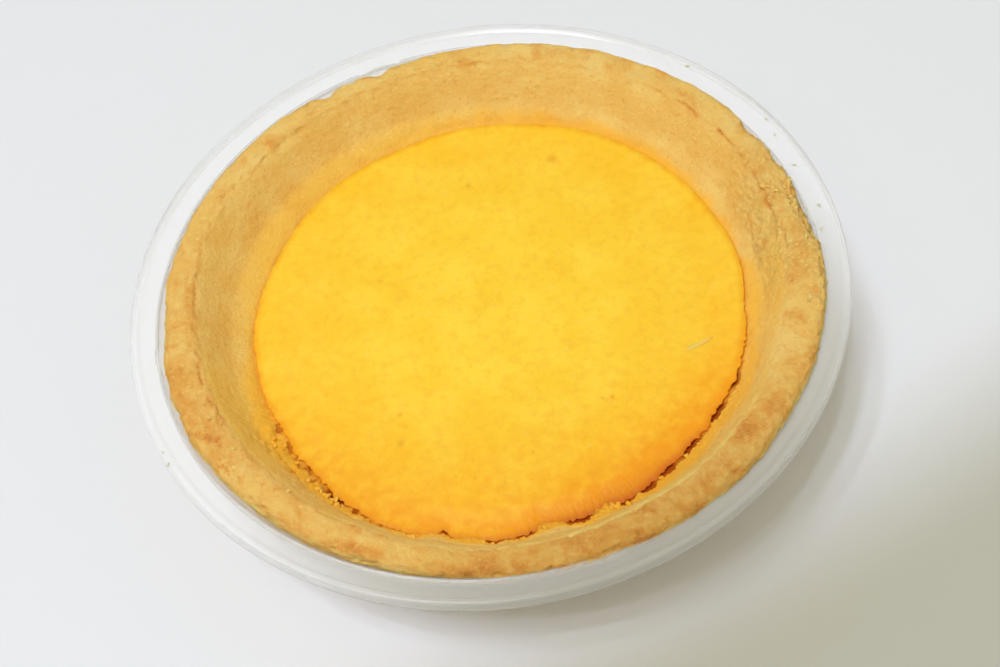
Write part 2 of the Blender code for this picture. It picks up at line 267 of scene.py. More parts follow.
# Flakes on the rim: (azimuth, half width in degrees, count, lowest and highest place along the section).
FLAKE_SPANS = in_metres((3, 4), (
    (5, 14, 22, 8.4, 12), (352, 14, 10, 9.5, 12.5), (205, 18, 8, 8, 11),
))
FLAKE_MARGIN = 1.4 * MM

# Crumbs on the flange: (x, y, width).
FLANGE_CRUMBS = in_metres((0, 1, 2), (
    (-40.6, -15, 0.3), (-40, -17, 0.42), (38.35, 18.9, 0.4), (38.7, 16.3, 0.3), (40.1, 10.9, 0.35),
    (41.7, 3.9, 0.35), (41.2, 0.4, 0.3), (30.3, 29.9, 0.35),
))

SLIVER_ENDS = ((21.8 * MM, -10.6 * MM), (25.6 * MM, -9.4 * MM))
SLIVER_WIDTH = 0.6 * MM

# The camera, which is turned so that the tart's right side is higher in the picture.
SENSOR_WIDTH = 36.0
IMAGE_WIDTH = 1000.0
CAMERA_FOCAL_PIXELS = 2756.0

# The lamps stand at the near left. The middle of the main lamps' pool on the table is far off at the back.
LAMP_AZIMUTH = 220.0
KEY_AIM = (LAMP_AZIMUTH, 73.0)
FILL_AIM = (LAMP_AZIMUTH, 70.0, 0.9)
FILL_WIDTH = 0.8
BOUNCE_AIM = (10.0, 35.0, 0.9)
BOUNCE_WIDTH = 0.7

# Each of the key's lamps has a cone whose edge crosses the table at KEY_EDGE.
KEY_BLEND = 0.035
KEY_POOL = Vector((-0.08, 0.2463, 0.0))
KEY_EDGE = Vector((0.0127, -0.039, 0.0))
KEY_LAMPS = 6


def display(red, green, blue):
    """A linear colour from one as a screen shows it, each part from 0 to 255."""
    parts = [part / 255.0 for part in (red, green, blue)]
    return tuple(part / 12.92 if part <= 0.04045 else ((part + 0.055) / 1.055) ** 2.4 for part in parts)


def smooth_step(low, high, value):
    share = min(max((value - low) / (high - low), 0.0), 1.0)
    return share * share * (3.0 - 2.0 * share)


def azimuth_of(point):
    return math.degrees(math.atan2(point.y, point.x)) % 360.0


def around(point):
    """A point's azimuth, its distance from the axis and the direction outward from there."""
    radius = math.hypot(point.x, point.y)
    return azimuth_of(point), radius, Vector((point.x / radius, point.y / radius, 0.0))


def bump(azimuth, middle, half_width):
    """A smooth hump over azimuths, 1 at the middle and 0 at half_width from it."""
    away = abs((azimuth - middle + 180.0) % 360.0 - 180.0)
    return 1.0 - smooth_step(0.0, half_width, away)


def mound(value, middle, half_width):
    """A smooth hump over lengths, 1 at the middle and 0 at half_width from it."""
    return 1.0 - smooth_step(0.0, half_width, abs(value - middle))


def lumps(point, size, seed):
    """Smooth noise from about -1 to 1, whose lumps are about size across."""
    return noise.noise(point / size + Vector((seed, seed * 1.7, seed * 0.3)))


def grains(point, size, seed):
    """Rounded grains packed side by side: near 1 on each grain's top and 0 in the seams between them."""
    near, far = noise.voronoi(point / size + Vector((seed, seed * 0.7, seed * 1.9)))[0][:2]
    share = min((far - near) * 1.8, 1.0)
    return share * (2.0 - share)


def signed_power(value, power):
    return math.copysign(abs(value) ** power, value)


def between(start, end, count):
    """Points between two others, without them."""
    points = []
    for index in range(1, count + 1):
        share = index / (count + 1)
        points.append((start[0] + (end[0] - start[0]) * share, start[1] + (end[1] - start[1]) * share))
    return points


def rounded_corner(before, corner, after, size, count):
    """A corner of a profile cut back by size on both sides and rounded."""
    here = Vector(corner)
    into = (Vector(before) - here).normalized()
    out = (Vector(after) - here).normalized()
    points = []
    for index in range(count):
        share = index / (count - 1)
        place = here + into * size * (1.0 - share) ** 2 + out * size * share ** 2
        points.append((place.x, place.y))
    return points


def lengths_along(points):
    """Each point's length along a line of points."""
    lengths = [0.0]
    for before, after in zip(points, points[1:]):
        lengths.append(lengths[-1] + math.dist(before, after))
    return lengths


def evenly_spaced(points, count):
    """count points at equal lengths along a line of points, the first and the last among them."""
    lengths = lengths_along(points)
    spaced = [points[0]]
    for index in range(1, count - 1):
        wanted = lengths[-1] * index / (count - 1)
        last = next(place for place, length in enumerate(lengths) if length >= wanted)
        share = (wanted - lengths[last - 1]) / (lengths[last] - lengths[last - 1])
        spaced.append(tuple(a + (b - a) * share for a, b in zip(points[last - 1], points[last])))
    return spaced + [points[-1]]


def lengths_from(profile, start):
    """Each profile point's length along the profile from the point start."""
    lengths = lengths_along(profile)
    zero = lengths[profile.index(start)]
    return [length - zero for length in lengths]


def spun_shape(profile, steps, along=None, crowding=None):
    """A bmesh of the surface that a profile of (radius, height) points leaves when it turns about +Z.

    crowding is the azimuth round which the columns stand closer together, and by what share.
    """
    shape = bmesh.new()
    layer = shape.verts.layers.float.new("along")
    points = [shape.verts.new((radius, 0.0, height)) for radius, height in profile]
    for point, length in zip(points, along or [0.0] * len(points)):
        point[layer] = length
    edges = [shape.edges.new(pair) for pair in zip(points, points[1:])]
    bmesh.ops.spin(
        shape,
        geom=points + edges,
        cent=(0.0, 0.0, 0.0),
        axis=(0.0, 0.0, 1.0),
        angle=2.0 * math.pi,
        steps=steps,
        use_merge=True,
    )
    bmesh.ops.remove_doubles(shape, verts=shape.verts, dist=WELD)
    bmesh.ops.recalc_face_normals(shape, faces=shape.faces)
    if crowding:
        middle, share = math.radians(crowding[0]), crowding[1]
        for vertex in shape.verts:
            turn = -share * math.sin(math.atan2(vertex.co.y, vertex.co.x) - middle)
            vertex.co.rotate(Matrix.Rotation(turn, 3, "Z"))
    shape.normal_update()
    return shape


def finished_object(name, shape, material, replaced=None):
    """Turns a bmesh into a piece of the tart that rides on the body."""
    mesh = bpy.data.meshes.new(name)
    shape.to_mesh(mesh)
    shape.free()
    mesh.shade_smooth()
    mesh.materials.append(material)
    made = bpy.data.objects.new(name, mesh)
    bpy.context.scene.collection.objects.link(made)
    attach(made, BODY)
    if replaced:
        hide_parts(replaced)
    return made


class TartForm:
    """The turned form that the crust and the filling share, read once from the panel's sizes."""

    def __init__(self, crust, filling, cup):
        self.rim_centre = (crust.radius - crust.rim_half_width, crust.height - crust.rim_half_height)
        self.rim_half = (crust.rim_half_width, crust.rim_half_height)
        self.tart_radius = crust.radius
        self.tart_height = crust.height
        self.edge = (filling.radius, filling.edge_height)
        self.dome = filling.dome
        self.base = cup.wall + FIT_GAP
        self.floor = self.base + CRUST_FLOOR
        self.flange_height = cup.flange_height
        self.ridge = self.rim_arc(2)[0]
        self.rim_end = self.rim_arc(2)[-1]
        self.slope = (self.ridge[1] - self.edge[1]) / (self.ridge[0] - self.edge[0])

    def rim_arc(self, count):
        """The rim's section, from its inner edge over the top to where the outer wall starts."""
        points = []
        power = 2.0 / RIM_SQUARENESS
        for degrees in range(round(RIM_INNER_ANGLE), round(RIM_OUTER_ANGLE) - 1, -1):
            angle = math.radians(degrees)
            radius = self.rim_centre[0] + self.rim_half[0] * signed_power(math.cos(angle), power)
            height = self.rim_centre[1] + self.rim_half[1] * signed_power(math.sin(angle), power)
            points.append((radius, height))
        return evenly_spaced(points, count)

    def inner_wall_radius(self, height):
        return self.edge[0] + (height - self.edge[1]) / self.slope

    def outer_wall_radius(self, height):
        share = (height - self.base) / (self.rim_end[1] - self.base)
        return CRUST_BASE_RADIUS + (self.rim_end[0] - CRUST_BASE_RADIUS) * share

    def crust_profile(self):
        """Floor, inner wall, rim, outer wall and base, with rows close together where they show."""
        corner = rounded_corner(
            (0.0, self.floor), (self.inner_wall_radius(self.floor), self.floor), self.edge, CRUST_CORNER, 4
        )
        crack_foot_height = self.edge[1] - CRACK_DEPTH
        crack_foot = (self.inner_wall_radius(crack_foot_height), crack_foot_height)
        rim = self.rim_arc(30)
        foot = (CRUST_BASE_RADIUS, self.base)
        foot_round = rounded_corner(rim[-1], foot, (0.0, self.base), CRUST_FOOT_FILLET, 4)
        shoulder_height = rim[-1][1] - 3.5 * MM
        shoulder = (self.outer_wall_radius(shoulder_height), shoulder_height)
        profile = [(0.0, self.floor), (15.0 * MM, self.floor)] + corner
        profile += between(corner[-1], crack_foot, 2) + [crack_foot]
        profile += between(crack_foot, self.edge, 14) + [self.edge]
        profile += between(self.edge, rim[0], 28) + rim
        profile += between(rim[-1], shoulder, 6) + [shoulder]
        profile += between(shoulder, foot_round[0], 18) + foot_round
        profile += [(15.0 * MM, self.base), (0.0, self.base)]
        return profile

    def filling_profile(self):
        """Top, edge, side and underside, with rows closest together near the edge."""
        edge = (self.edge[0] + FILLING_OVERLAP, self.edge[1])
        bottom = self.floor + FIT_GAP
        foot = (self.inner_wall_radius(bottom) - FIT_GAP, bottom)
        top = []
        spread = [0.0, 0.006, 0.012] + [0.02 + 0.98 * index / 63.0 for index in range(36)]
        spread += [spread[-1] + (0.965 - spread[-1]) * (index + 1) / 32.0 for index in range(32)]
        for share in spread:
            radius = edge[0] * share
            top.append((radius, self.edge[1] + self.dome * (1.0 - share * share)))
        rim = rounded_corner(top[-1], edge, foot, FILLING_EDGE_ROUND, 7)
        under = rounded_corner(edge, foot, (0.0, bottom), CRUST_CORNER, 3)
        return top + rim + between(rim[-1], under[0], 12) + under + [(0.0, bottom)]

    def hollow_offset(self, point):
        """How far the hollow's surface lies from where a hollow in the middle would have it."""
        stretch = HOLLOW_STRETCH * point.y / self.edge[0]
        return Vector((HOLLOW_SHIFT[0], HOLLOW_SHIFT[1] + stretch, 0.0))

    def hollow_share(self, point):
        """1 inside the crust's hollow, falling to 0 over the rim, and 0 outside."""
        radius = math.hypot(point.x, point.y)
        if point.z < self.floor - 0.5 * CRUST_FLOOR:
            return 0.0
        inside = radius < self.inner_wall_radius(point.z) + self.rim_half[0]
        return 1.0 - smooth_step(self.edge[1], self.tart_height, point.z) if inside else 0.0

    def rim_share(self, point):
        """1 on the rim's outer half, falling to 0 below the flange and at the rim's inner edge."""
        radius = math.hypot(point.x, point.y)
        above = smooth_step(self.flange_height - 1.0 * MM, self.flange_height + 0.3 * MM, point.z)
        inner = self.tart_radius - 2.0 * self.rim_half[0]
        return above * smooth_step(inner, self.tart_radius - 0.3 * self.rim_half[0], radius)

    def crest_share(self, point):
        """1 on the rim and the inner wall below it, falling to 0 at the filling and under the flange."""
        radius = math.hypot(point.x, point.y)
        middle = 0.5 * (self.inner_wall_radius(point.z) + self.outer_wall_radius(point.z))
        if radius > middle:
            return smooth_step(self.flange_height - 1.0 * MM, self.flange_height + 0.5 * MM, point.z)
        return smooth_step(self.edge[1], self.edge[1] + 2.5 * MM, point.z)


def rim_set_back(azimuth):
    """How far the rim's outline is drawn in by its dents."""
    depth = RIM_INSET * bump(azimuth, *RIM_INSET_ARC)
    for middle, half_width, dent in RIM_DENTS:
        depth += dent * bump(azimuth, middle, half_width)
    return depth


def torn_height(azimuth):
    """How high the torn band reaches above the filling's edge."""
    return max(height * math.sqrt(bump(azimuth, middle, half)) for middle, half, height in TORN_SPANS)


def between_knots(knots, azimuth):
    """The values at an azimuth, from a list that gives them at some azimuths."""
    last = next(place for place, knot in enumerate(knots) if knot[0] >= azimuth and place > 0)
    before, after = knots[last - 1 : last + 1]
    share = smooth_step(before[0], after[0], azimuth)
    return [first + (second - first) * share for first, second in zip(before[1:], after[1:])]


def crack_sides(azimuth, edge_point):
    """How far the crust's lip and the filling's edge lie inside the wall, each with its teeth."""
    middle, width = between_knots(CRACK_LINE, azimuth)
    ragged = TOOTH_DEPTH * min(width / (0.2 * MM), 1.0) * (1.0 - 0.75 * bump(azimuth, *FEW_TEETH_ARC))
    lip = middle - 0.5 * width
    edge = middle + 0.5 * width
    lip_tooth = ragged * toothed(edge_point, 5.5)
    edge_tooth = max(0.9 * ragged * toothed(edge_point, 8.5), lip + lip_tooth - edge - FILLING_OVERLAP)
    return lip, lip_tooth, edge, edge_tooth


def crack_floor(azimuth, edge_point):
    """How deep the crack is, and how much painted shade darkens it: 1 where it is deepest."""
    deep = max(bump(azimuth, middle, half) for middle, half in DEEP_SPOTS)
    deep = smooth_step(0.1, 0.7, deep * (1.0 + 0.5 * lumps(edge_point, 1.0 * MM, 53.0)))
    return SHALLOW_CRACK + (DEEP_CRACK - SHALLOW_CRACK) * deep, deep


def toothed(edge_point, seed):
    return lumps(edge_point, TOOTH_SIZE, seed) + 0.7 * lumps(edge_point, 0.5 * TOOTH_SIZE, seed + 40.0)


def crease_depth(azimuth, along, point):
    """Depth of the creases that run round the crust, broken up along their length."""
    depth = 0.0
    for middle, half_turn, place, deep, half_width in CREASES:
        wander = 0.35 * MM * lumps(point, 4.0 * MM, 31.0)
        broken = smooth_step(-0.35, 0.25, lumps(point, 2.0 * MM, 37.0))
        line = bump(azimuth, middle, half_turn) * mound(along + wander, place, half_width)
        depth = max(depth, deep * broken * line)
    return depth


def shaped_crust(form, point, normal, along, rim_start, rim_end):
    """Where a point of the crust lies after baking, and how brown, stained, pale and crumbly it is. The
    brownness also paints shade into hollows, and the paleness paints light on the outer face.
    """
    azimuth, radius, outward = around(point)
    crest = form.crest_share(point)
    place = point.copy()
    if crest > 0.0:
        swell = RIM_LUMP * (0.5 + 0.5 * lumps(point, 9.0 * MM, 3.1))
        swell *= 1.0 - 0.7 * bump(azimuth, *CALM_ARC)
        place -= outward * form.rim_share(point) * (rim_set_back(azimuth) + swell)
        place.z += RIM_WAVE * lumps(outward, 0.55, 7.7) * crest
        place.z -= NEAR_SLUMP_DEPTH * bump(azimuth, *NEAR_SLUMP) * crest
        place -= normal * crest * 0.5 * INNER_WALL_LUMP * (1.0 + lumps(point, 6.0 * MM, 11.3))
        at_ridge = smooth_step(0.5 * MM, rim_start, along)
        at_ridge *= 1.0 - smooth_step(rim_start, rim_start + RIDGE_WIDTH, along)
        place -= outward * between_knots(RIDGE_SHIFT, azimuth)[0] * at_ridge

    past_start = smooth_step(rim_start - 1.2 * MM, rim_start, along)
    on_outer = smooth_step(rim_end, rim_end + 1.5 * MM, along)
    on_inner = smooth_step(-1.0 * MM, 0.5 * MM, along) * (1.0 - past_start)
    on_rim = past_start * (1.0 - on_outer)
    shown = on_inner + on_rim + on_outer
    if shown <= 0.0 and along < -CRACK_DEPTH:
        return place, 0.0, 0.0, 0.0, 0.0

    warped = point + Vector((lumps(point, 1.3 * MM, 1.1), lumps(point, 1.3 * MM, 4.1), 0.0)) * 0.5 * MM
    grain = grains(warped, GRAIN_SIZE, 2.3)
    grit = noise.fractal(point / GRIT_SIZE + Vector((9.0, 3.0, 6.0)), 0.6, 2.2, 3)
    crag = bump(azimuth, *CRAG_ARC) * crest
    roughness = on_rim + (0.3 + 0.5 * crag) * on_inner + 0.55 * on_outer
    depth = roughness * (GRAIN_DEPTH * (1.0 - grain) + GRIT_DEPTH * (0.35 - 0.35 * grit))
    dimple = 0.4 + 0.5 * lumps(point, DIMPLE_SIZE, 15.1)
    depth += DIMPLE_DEPTH * (on_rim + 0.6 * on_inner + 0.6 * on_outer) * dimple

    pit = smooth_step(0.3, 0.55, lumps(point, PIT_SIZE, 23.7)) * (on_rim + 0.4 * on_inner + 0.5 * on_outer)
    depth += PIT_DEPTH * pit
    crease = crease_depth(azimuth, along, point)
    depth += crease

    fissure = 0.0
    if on_rim > 0.0:
        line = lumps(point, 1.5 * MM, 83.0) + 0.55 * lumps(point, 0.6 * MM, 85.0)
        broken = smooth_step(-0.1, 0.3, lumps(point, 2.6 * MM, 87.0))
        fissure = on_rim * broken * (1.0 - smooth_step(0.02, 0.12, abs(line)))
        fissure *= max(bump(azimuth, *FISSURE_ARCS[0]), 0.7 * bump(azimuth, *FISSURE_ARCS[1]), 0.2)
        depth += FISSURE_DEPTH * fissure

    turn_length = math.radians(azimuth) * radius
    wander = 0.5 * MM * lumps(point, 2.6 * MM, 33.0)
    streak_point = Vector((turn_length / STREAK_LENGTH, (along + wander) / STREAK_WIDTH, 5.0))
    streak_zone = on_inner * max(0.5 * bump(azimuth, *STREAK_ARC), 0.2)
    depth += STREAK_DEPTH * streak_zone * (0.4 + 0.6 * noise.fractal(streak_point, 0.7, 2.0, 2))

    fibre_valley = 0.0
    if crag > 0.0:
        fibre_point = Vector((turn_length / FIBRE_LENGTH, (along + 1.6 * wander) / FIBRE_WIDTH, 8.0))
        ridges = noise.ridged_multi_fractal(fibre_point, 0.8, 2.1, 3, 1.0, 2.0)
        fibre_valley = smooth_step(1.35, 0.45, ridges)
        level = 2.2 + 3.2 * lumps(point, FLAKE_SIZE, 19.9) + 0.7 * lumps(point, 0.9 * MM, 21.9)
        ledge = math.floor(level) + smooth_step(0.0, 0.22, level - math.floor(level))
        depth += crag * (FIBRE_DEPTH * fibre_valley + FLAKE_STEP * (3.2 - ledge))
        depth += crag * CRAG_GRAIN * (0.5 - grains(point, 0.75 * MM, 57.0))
    if on_rim > 0.0:
        above_flange = smooth_step(form.flange_height + 0.02 * MM, form.flange_height + 0.25 * MM, point.z)
        reach = between_knots(RIM_REACH, azimuth)[0] * above_flange
        reach += EDGE_CRUMBLE * bump(azimuth, *CRUMBLE_ARC) * (grains(point, 0.8 * MM, 59.0) - 0.5)
        place += outward * reach * form.rim_share(point)

    band = torn_height(azimuth)
    wavy = lumps(point, 2.2 * MM, 41.0)
    torn_top = band * (1.0 + 0.7 * wavy + 0.6 * lumps(point, 0.8 * MM, 43.0))
    torn = 1.0 - smooth_step(torn_top - 0.3 * MM, torn_top + 0.1 * MM, along)
    torn *= smooth_step(-1.8 * MM, -0.3 * MM, along)
    raised = 0.0
    cave = 0.0
    if torn > 0.0:
        billow = noise.turbulence(point / CRUMB_SIZE, 3, True, amplitude_scale=0.6, frequency_scale=2.1)
        strength = torn * max(share * bump(azimuth, middle, half) for middle, half, share in TORN_ROUGHNESS)
        cave = max(strength - 0.4, 0.0) * 1.6 * smooth_step(0.12, 0.36, lumps(point, 1.5 * MM, 47.0))
        raised = strength * CRUMB_HEIGHT * (billow - 0.42) - CAVE_DEPTH * cave
        raised += torn * 0.18 * MM * (grains(point, 0.7 * MM, 49.0) - 0.5) * min(3.0 * strength, 1.0)
        # Painted shade: the low places between the torn band's lumps count as caves, so they are made
        # browner for the shade in them.
        cave += 0.45 * strength * smooth_step(0.4, 0.2, billow)
    if -2.0 * CRACK_DEPTH < along < HOLLOW_RISE:
        lip, lip_tooth, edge, edge_tooth = crack_sides(azimuth, outward * form.edge[0])
        floor_depth, deep = crack_floor(azimuth, outward * form.edge[0])
        ledge = lip * mound(along, -0.1 * MM, LEDGE_RISE if lip > 0.0 else HOLLOW_RISE)
        ledge += lip_tooth * mound(along, -0.1 * MM, TOOTH_REACH)
        covered = edge + edge_tooth + FIT_GAP
        under = smooth_step(-floor_depth, -floor_depth - 0.45 * MM, along)
        place -= outward * (ledge + (covered - ledge) * under)

    place += normal * (raised - depth)

    far_side = bump(azimuth, *FAR_SIDE)
    stain_top = band * (0.8 + 0.3 * wavy) + 0.4 * MM * lumps(point, 2.5 * MM, 61.0)
    blur = 0.4 * MM + 0.35 * band
    stained = 1.0 - smooth_step(stain_top - blur, stain_top + blur, along)
    stained *= (1.0 - 0.4 * bump(azimuth, *LESS_STAIN_ARC)) * (1.0 - 0.6 * far_side)
    far_stain = bump(azimuth, *FAR_STAIN_ARC) * (1.0 - smooth_step(1.0 * MM, 4.5 * MM, along))
    stained = max(stained, 0.3 * far_stain)

    # Painted shade: creases, pits and caves are made browner for the shade that falls in them.
    browned_and_shaded = (0.6 * on_rim + 0.25) * smooth_step(0.0, 0.2 * MM, crease) + 0.15 * pit + 0.9 * cave
    mottled = max(lumps(point, 3.4 * MM, 67.0) + 0.5 * lumps(point, 1.5 * MM, 69.0), 0.0)
    # The rim is browner towards the near right: partly its own toasting, partly painted shade where the
    # light falls off.
    even = 0.1 + 0.34 * bump(azimuth, *TOASTED_AND_SHADED_ARCS[0]) + 0.3 * bump(azimuth, *TOASTED_AND_SHADED_ARCS[1])
    patchy = 0.75 - 0.35 * bump(azimuth, *LESS_MOTTLED_ARC)
    browned_and_shaded += on_rim * (even + patchy * mottled) + on_inner * 0.35 * mottled
    in_cup = smooth_step(rim_end + 1.0 * MM, rim_end + 4.0 * MM, along)
    browned_and_shaded += (0.15 + 0.4 * mottled) * in_cup
    # Painted shade: fibre valleys and fissures are made browner for the shade in them.
    browned_and_shaded += 0.35 * crag * fibre_valley + 0.6 * fissure
    for middle, half_turn, spot, half_length, strength in BROWN_PATCHES:
        here = bump(azimuth, middle, half_turn) * mound(along, spot, half_length)
        if here > 0.0:
            browned_and_shaded += 0.6 * strength * here * (0.9 + 0.8 * lumps(point, 1.4 * MM, 71.0))
    # The crack is made browner: partly its own caramel colour, partly painted shade that is darkest where
    # the crack is deep.
    if along < 0.0 and shown + torn > 0.0:
        stain_share = between_knots(CRACK_STAIN, azimuth)[0]
        crack_brown = stain_share + (1.0 - stain_share) * deep
        browned_and_shaded += crack_brown * smooth_step(-0.02 * MM, -0.3 * MM, along)
    edge_line = mound(along, rim_end - 1.2 * MM, 1.1 * MM) * (1.0 + lumps(point, 1.5 * MM, 73.0))
    # Painted light: the outer face is made paler where the lamps leave it in shade, most on the right, and
    # in a line just above the flange.
    fringe = 0.8 * mound(point.z, form.flange_height + 0.1 * MM, 0.4 * MM)
    fringe *= 0.7 + 0.5 * lumps(point, 1.5 * MM, 75.0)
    outer_pale = max(0.9 * bump(azimuth, *PALE_SIDE_ARC), fringe, 0.15)
    pale = edge_line * (1.0 - 0.6 * bump(azimuth, *LESS_PALE_ARC))
    pale += outer_pale * smooth_step(rim_end - 1.0 * MM, rim_end, along)
    # Painted highlight: a pale line along the inner ridge on the near right.
    pale += 0.9 * bump(azimuth, *PALE_RIDGE_ARC) * mound(along, rim_start - 0.1 * MM, 0.9 * MM)
    browned_and_shaded *= 1.0 - 0.8 * min(pale, 1.0)
    # The inner wall is made yellower in places. On the near-left arc this is painted bounce light, on a wall
    # that faces away from the lamps.
    khaki = max(bump(azimuth, *KHAKI_ARCS[0]), 0.7 * bump(azimuth, *KHAKI_ARCS[1]), 0.2)
    low_wall = 1.0 - smooth_step(0.5 * MM, 3.5 * MM, along)
    khaki = max(on_inner * khaki + 1.2 * in_cup, on_inner * low_wall * far_side)
    return place, browned_and_shaded, stained, pale - khaki, 0.25 * on_rim + crag


def float_layers(shape, *names):
    return [shape.verts.layers.float.new(name) for name in names]


def make_crust(form):
    profile = form.crust_profile()
    along = lengths_from(profile, form.edge)
    rim_start = along[profile.index(form.ridge)]
    rim_end = along[profile.index(form.rim_end)]
    shape = spun_shape(profile, CRUST_STEPS, along, NEAR_CROWDING)
    length_layer = shape.verts.layers.float["along"]
    layers = float_layers(shape, "browned_and_shaded", "stained", "pale", "crumbly")
    tart_shift = Vector(TART_SHIFT + (0.0,))
    moves = []
    for vertex in shape.verts:
        point = vertex.co.copy()
        shift = tart_shift + form.hollow_offset(point) * form.hollow_share(point)
        if math.hypot(point.x, point.y) < 1.0 * MM:
            moves.append((vertex, point + shift, (0.0, 0.0, 0.0, 0.0)))
            continue
        place, *finish = shaped_crust(form, point, vertex.normal, vertex[length_layer], rim_start, rim_end)
        moves.append((vertex, place + shift, finish))
    for vertex, place, finish in moves:
        vertex.co = place
        for layer, value in zip(layers, finish):
            vertex[layer] = value
    finished_object("baked_crust", shape, crust_material(), "crust")


def shaped_filling(form, point):
    """Where a point of the turned filling lies after baking, how dark it is from toasting and from painted
    shade towards the near side, and how marked it is.
    """
    azimuth, radius, outward = around(point)
    share = radius / form.edge[0]
    top = smooth_step(form.edge[1] - CRACK_DEPTH, form.edge[1] - 1.0 * MM, point.z)
    edge = smooth_step(form.edge[0] - NEAR_ROLL_WIDTH, form.edge[0] - 0.8 * MM, radius)
    near = bump(azimuth, *ROLL_ARC)
    flat_point = Vector((point.x, point.y, 0.0))
    _, _, drawn_back, tooth = crack_sides(azimuth, outward * form.edge[0])
    _, deep = crack_floor(azimuth, outward * form.edge[0])
    place = point - outward * drawn_back * top * smooth_step(0.88, 0.985, share)
    place -= outward * tooth * top * smooth_step(0.965, 0.99, share)
    rolled = near * edge * top
    place.z -= NEAR_ROLL * rolled
    place.z += top * 0.07 * MM * lumps(flat_point, 8.0 * MM, 4.4)
    place.z += top * 0.025 * MM * lumps(flat_point, 1.8 * MM, 6.6)
    rough = top * smooth_step(0.9, 0.97, share) * max(near, bump(azimuth, *ROUGH_ARC), 0.25)
    place.z += rough * 0.1 * MM * (grains(flat_point, 0.9 * MM, 12.0) - 0.5)
    mark = 0.0
    for x, y, half_width, depth in FILLING_PITS + FILLING_NICKS:
        away = math.hypot(point.x - x, point.y - y)
        if away < half_width and top > 0.0:
            ragged = 1.0 + 0.4 * lumps(flat_point, 0.5 * MM, 3.0)
            hollow = (1.0 - smooth_step(0.0, half_width, away)) * ragged
            place.z -= depth * hollow
            mark = max(mark, hollow)
    # Painted shade: the filling is darker towards the near side. It is also darker towards its edge.
    toasted_and_shaded = 0.28 * smooth_step(0.25, 0.85, share) + 0.24 * smooth_step(2.0 * MM, -30.0 * MM, point.y)
    # The near edge and its roll are darker: partly toasting, partly painted shade where the edge rolls down.
    near_sides = max(bump(azimuth, *TOASTED_AND_SHADED_EDGE_ARCS[0]), 0.5 * bump(azimuth, *TOASTED_AND_SHADED_EDGE_ARCS[1]))
    toasted_and_shaded += 0.5 * smooth_step(0.75, 0.97, share) * near_sides
    toasted_and_shaded += 0.35 * rolled + 0.4 * smooth_step(0.96, 1.0, share)
    # The filling's side in the crack has its own baked colour, with painted shade that is darkest where the
    # crack is deep.
    in_crack = min(between_knots(CRACK_STAIN, azimuth)[0] + deep, 1.0)
    below_edge = smooth_step(form.edge[1] - 0.12 * MM, form.edge[1] - 0.6 * MM, point.z)
    toasted_and_shaded += (0.3 + 1.4 * in_crack) * below_edge
    return place, toasted_and_shaded, mark


def make_filling(form):
    shape = spun_shape(form.filling_profile(), FILLING_STEPS, crowding=NEAR_CROWDING)
    layers = float_layers(shape, "toasted_and_shaded", "marked")
    tart_shift = Vector(TART_SHIFT + (0.0,))
    for vertex in shape.verts:
        point = vertex.co.copy()
        place, *finish = (point, 0.0, 0.0)
        if math.hypot(point.x, point.y) > 0.01 * MM:
            place, *finish = shaped_filling(form, point)
        vertex.co = place + tart_shift + form.hollow_offset(point)
        for layer, value in zip(layers, finish):
            vertex[layer] = value
    finished_object("baked_filling", shape, filling_material(), "filling")


def cup_profile(form, cup):
    """The face towards the tart: floor, wall, collar, flange, bead and the outside of the skirt."""
    floor = (0.0, cup.wall)
    foot = (CUP_BASE_RADIUS + CUP_WALL_GAP, cup.wall)
    collar = (form.rim_end[0] + CUP_WALL_GAP, form.rim_end[1])
    wall_top = (collar[0] + COLLAR_FLARE, cup.flange_height)
    bead_start = (cup.bead_radius, cup.flange_height)
    bead_top = cup.flange_height + BEAD_RISE
    bead_edge = (cup.bead_radius + 0.3 * MM, bead_top)
    lip = (cup.lip_radius, bead_top)
    skirt = (cup.lip_radius, bead_top - cup.skirt_depth)
    foot_round = rounded_corner(floor, foot, collar, CUP_FOOT_FILLET, 6)
    profile = [floor, (14.0 * MM, cup.wall)] + foot_round + between(foot_round[-1], collar, 14)
    profile += rounded_corner(foot_round[-1], collar, wall_top, 0.35 * MM, 4)
    profile += between(collar, wall_top, 3)[1:]
    profile += rounded_corner(collar, wall_top, bead_start, FLANGE_CORNER, 7)
    profile += between(wall_top, bead_start, 4)[2:]
    profile += rounded_corner(wall_top, bead_start, bead_edge, 0.14 * MM, 4)
    profile += rounded_corner(bead_start, bead_edge, lip, 0.14 * MM, 4)
    profile += rounded_corner(bead_edge, lip, skirt, LIP_ROUND, 8)
    profile += between((lip[0], lip[1] - LIP_ROUND), skirt, 3) + [skirt]
    return profile


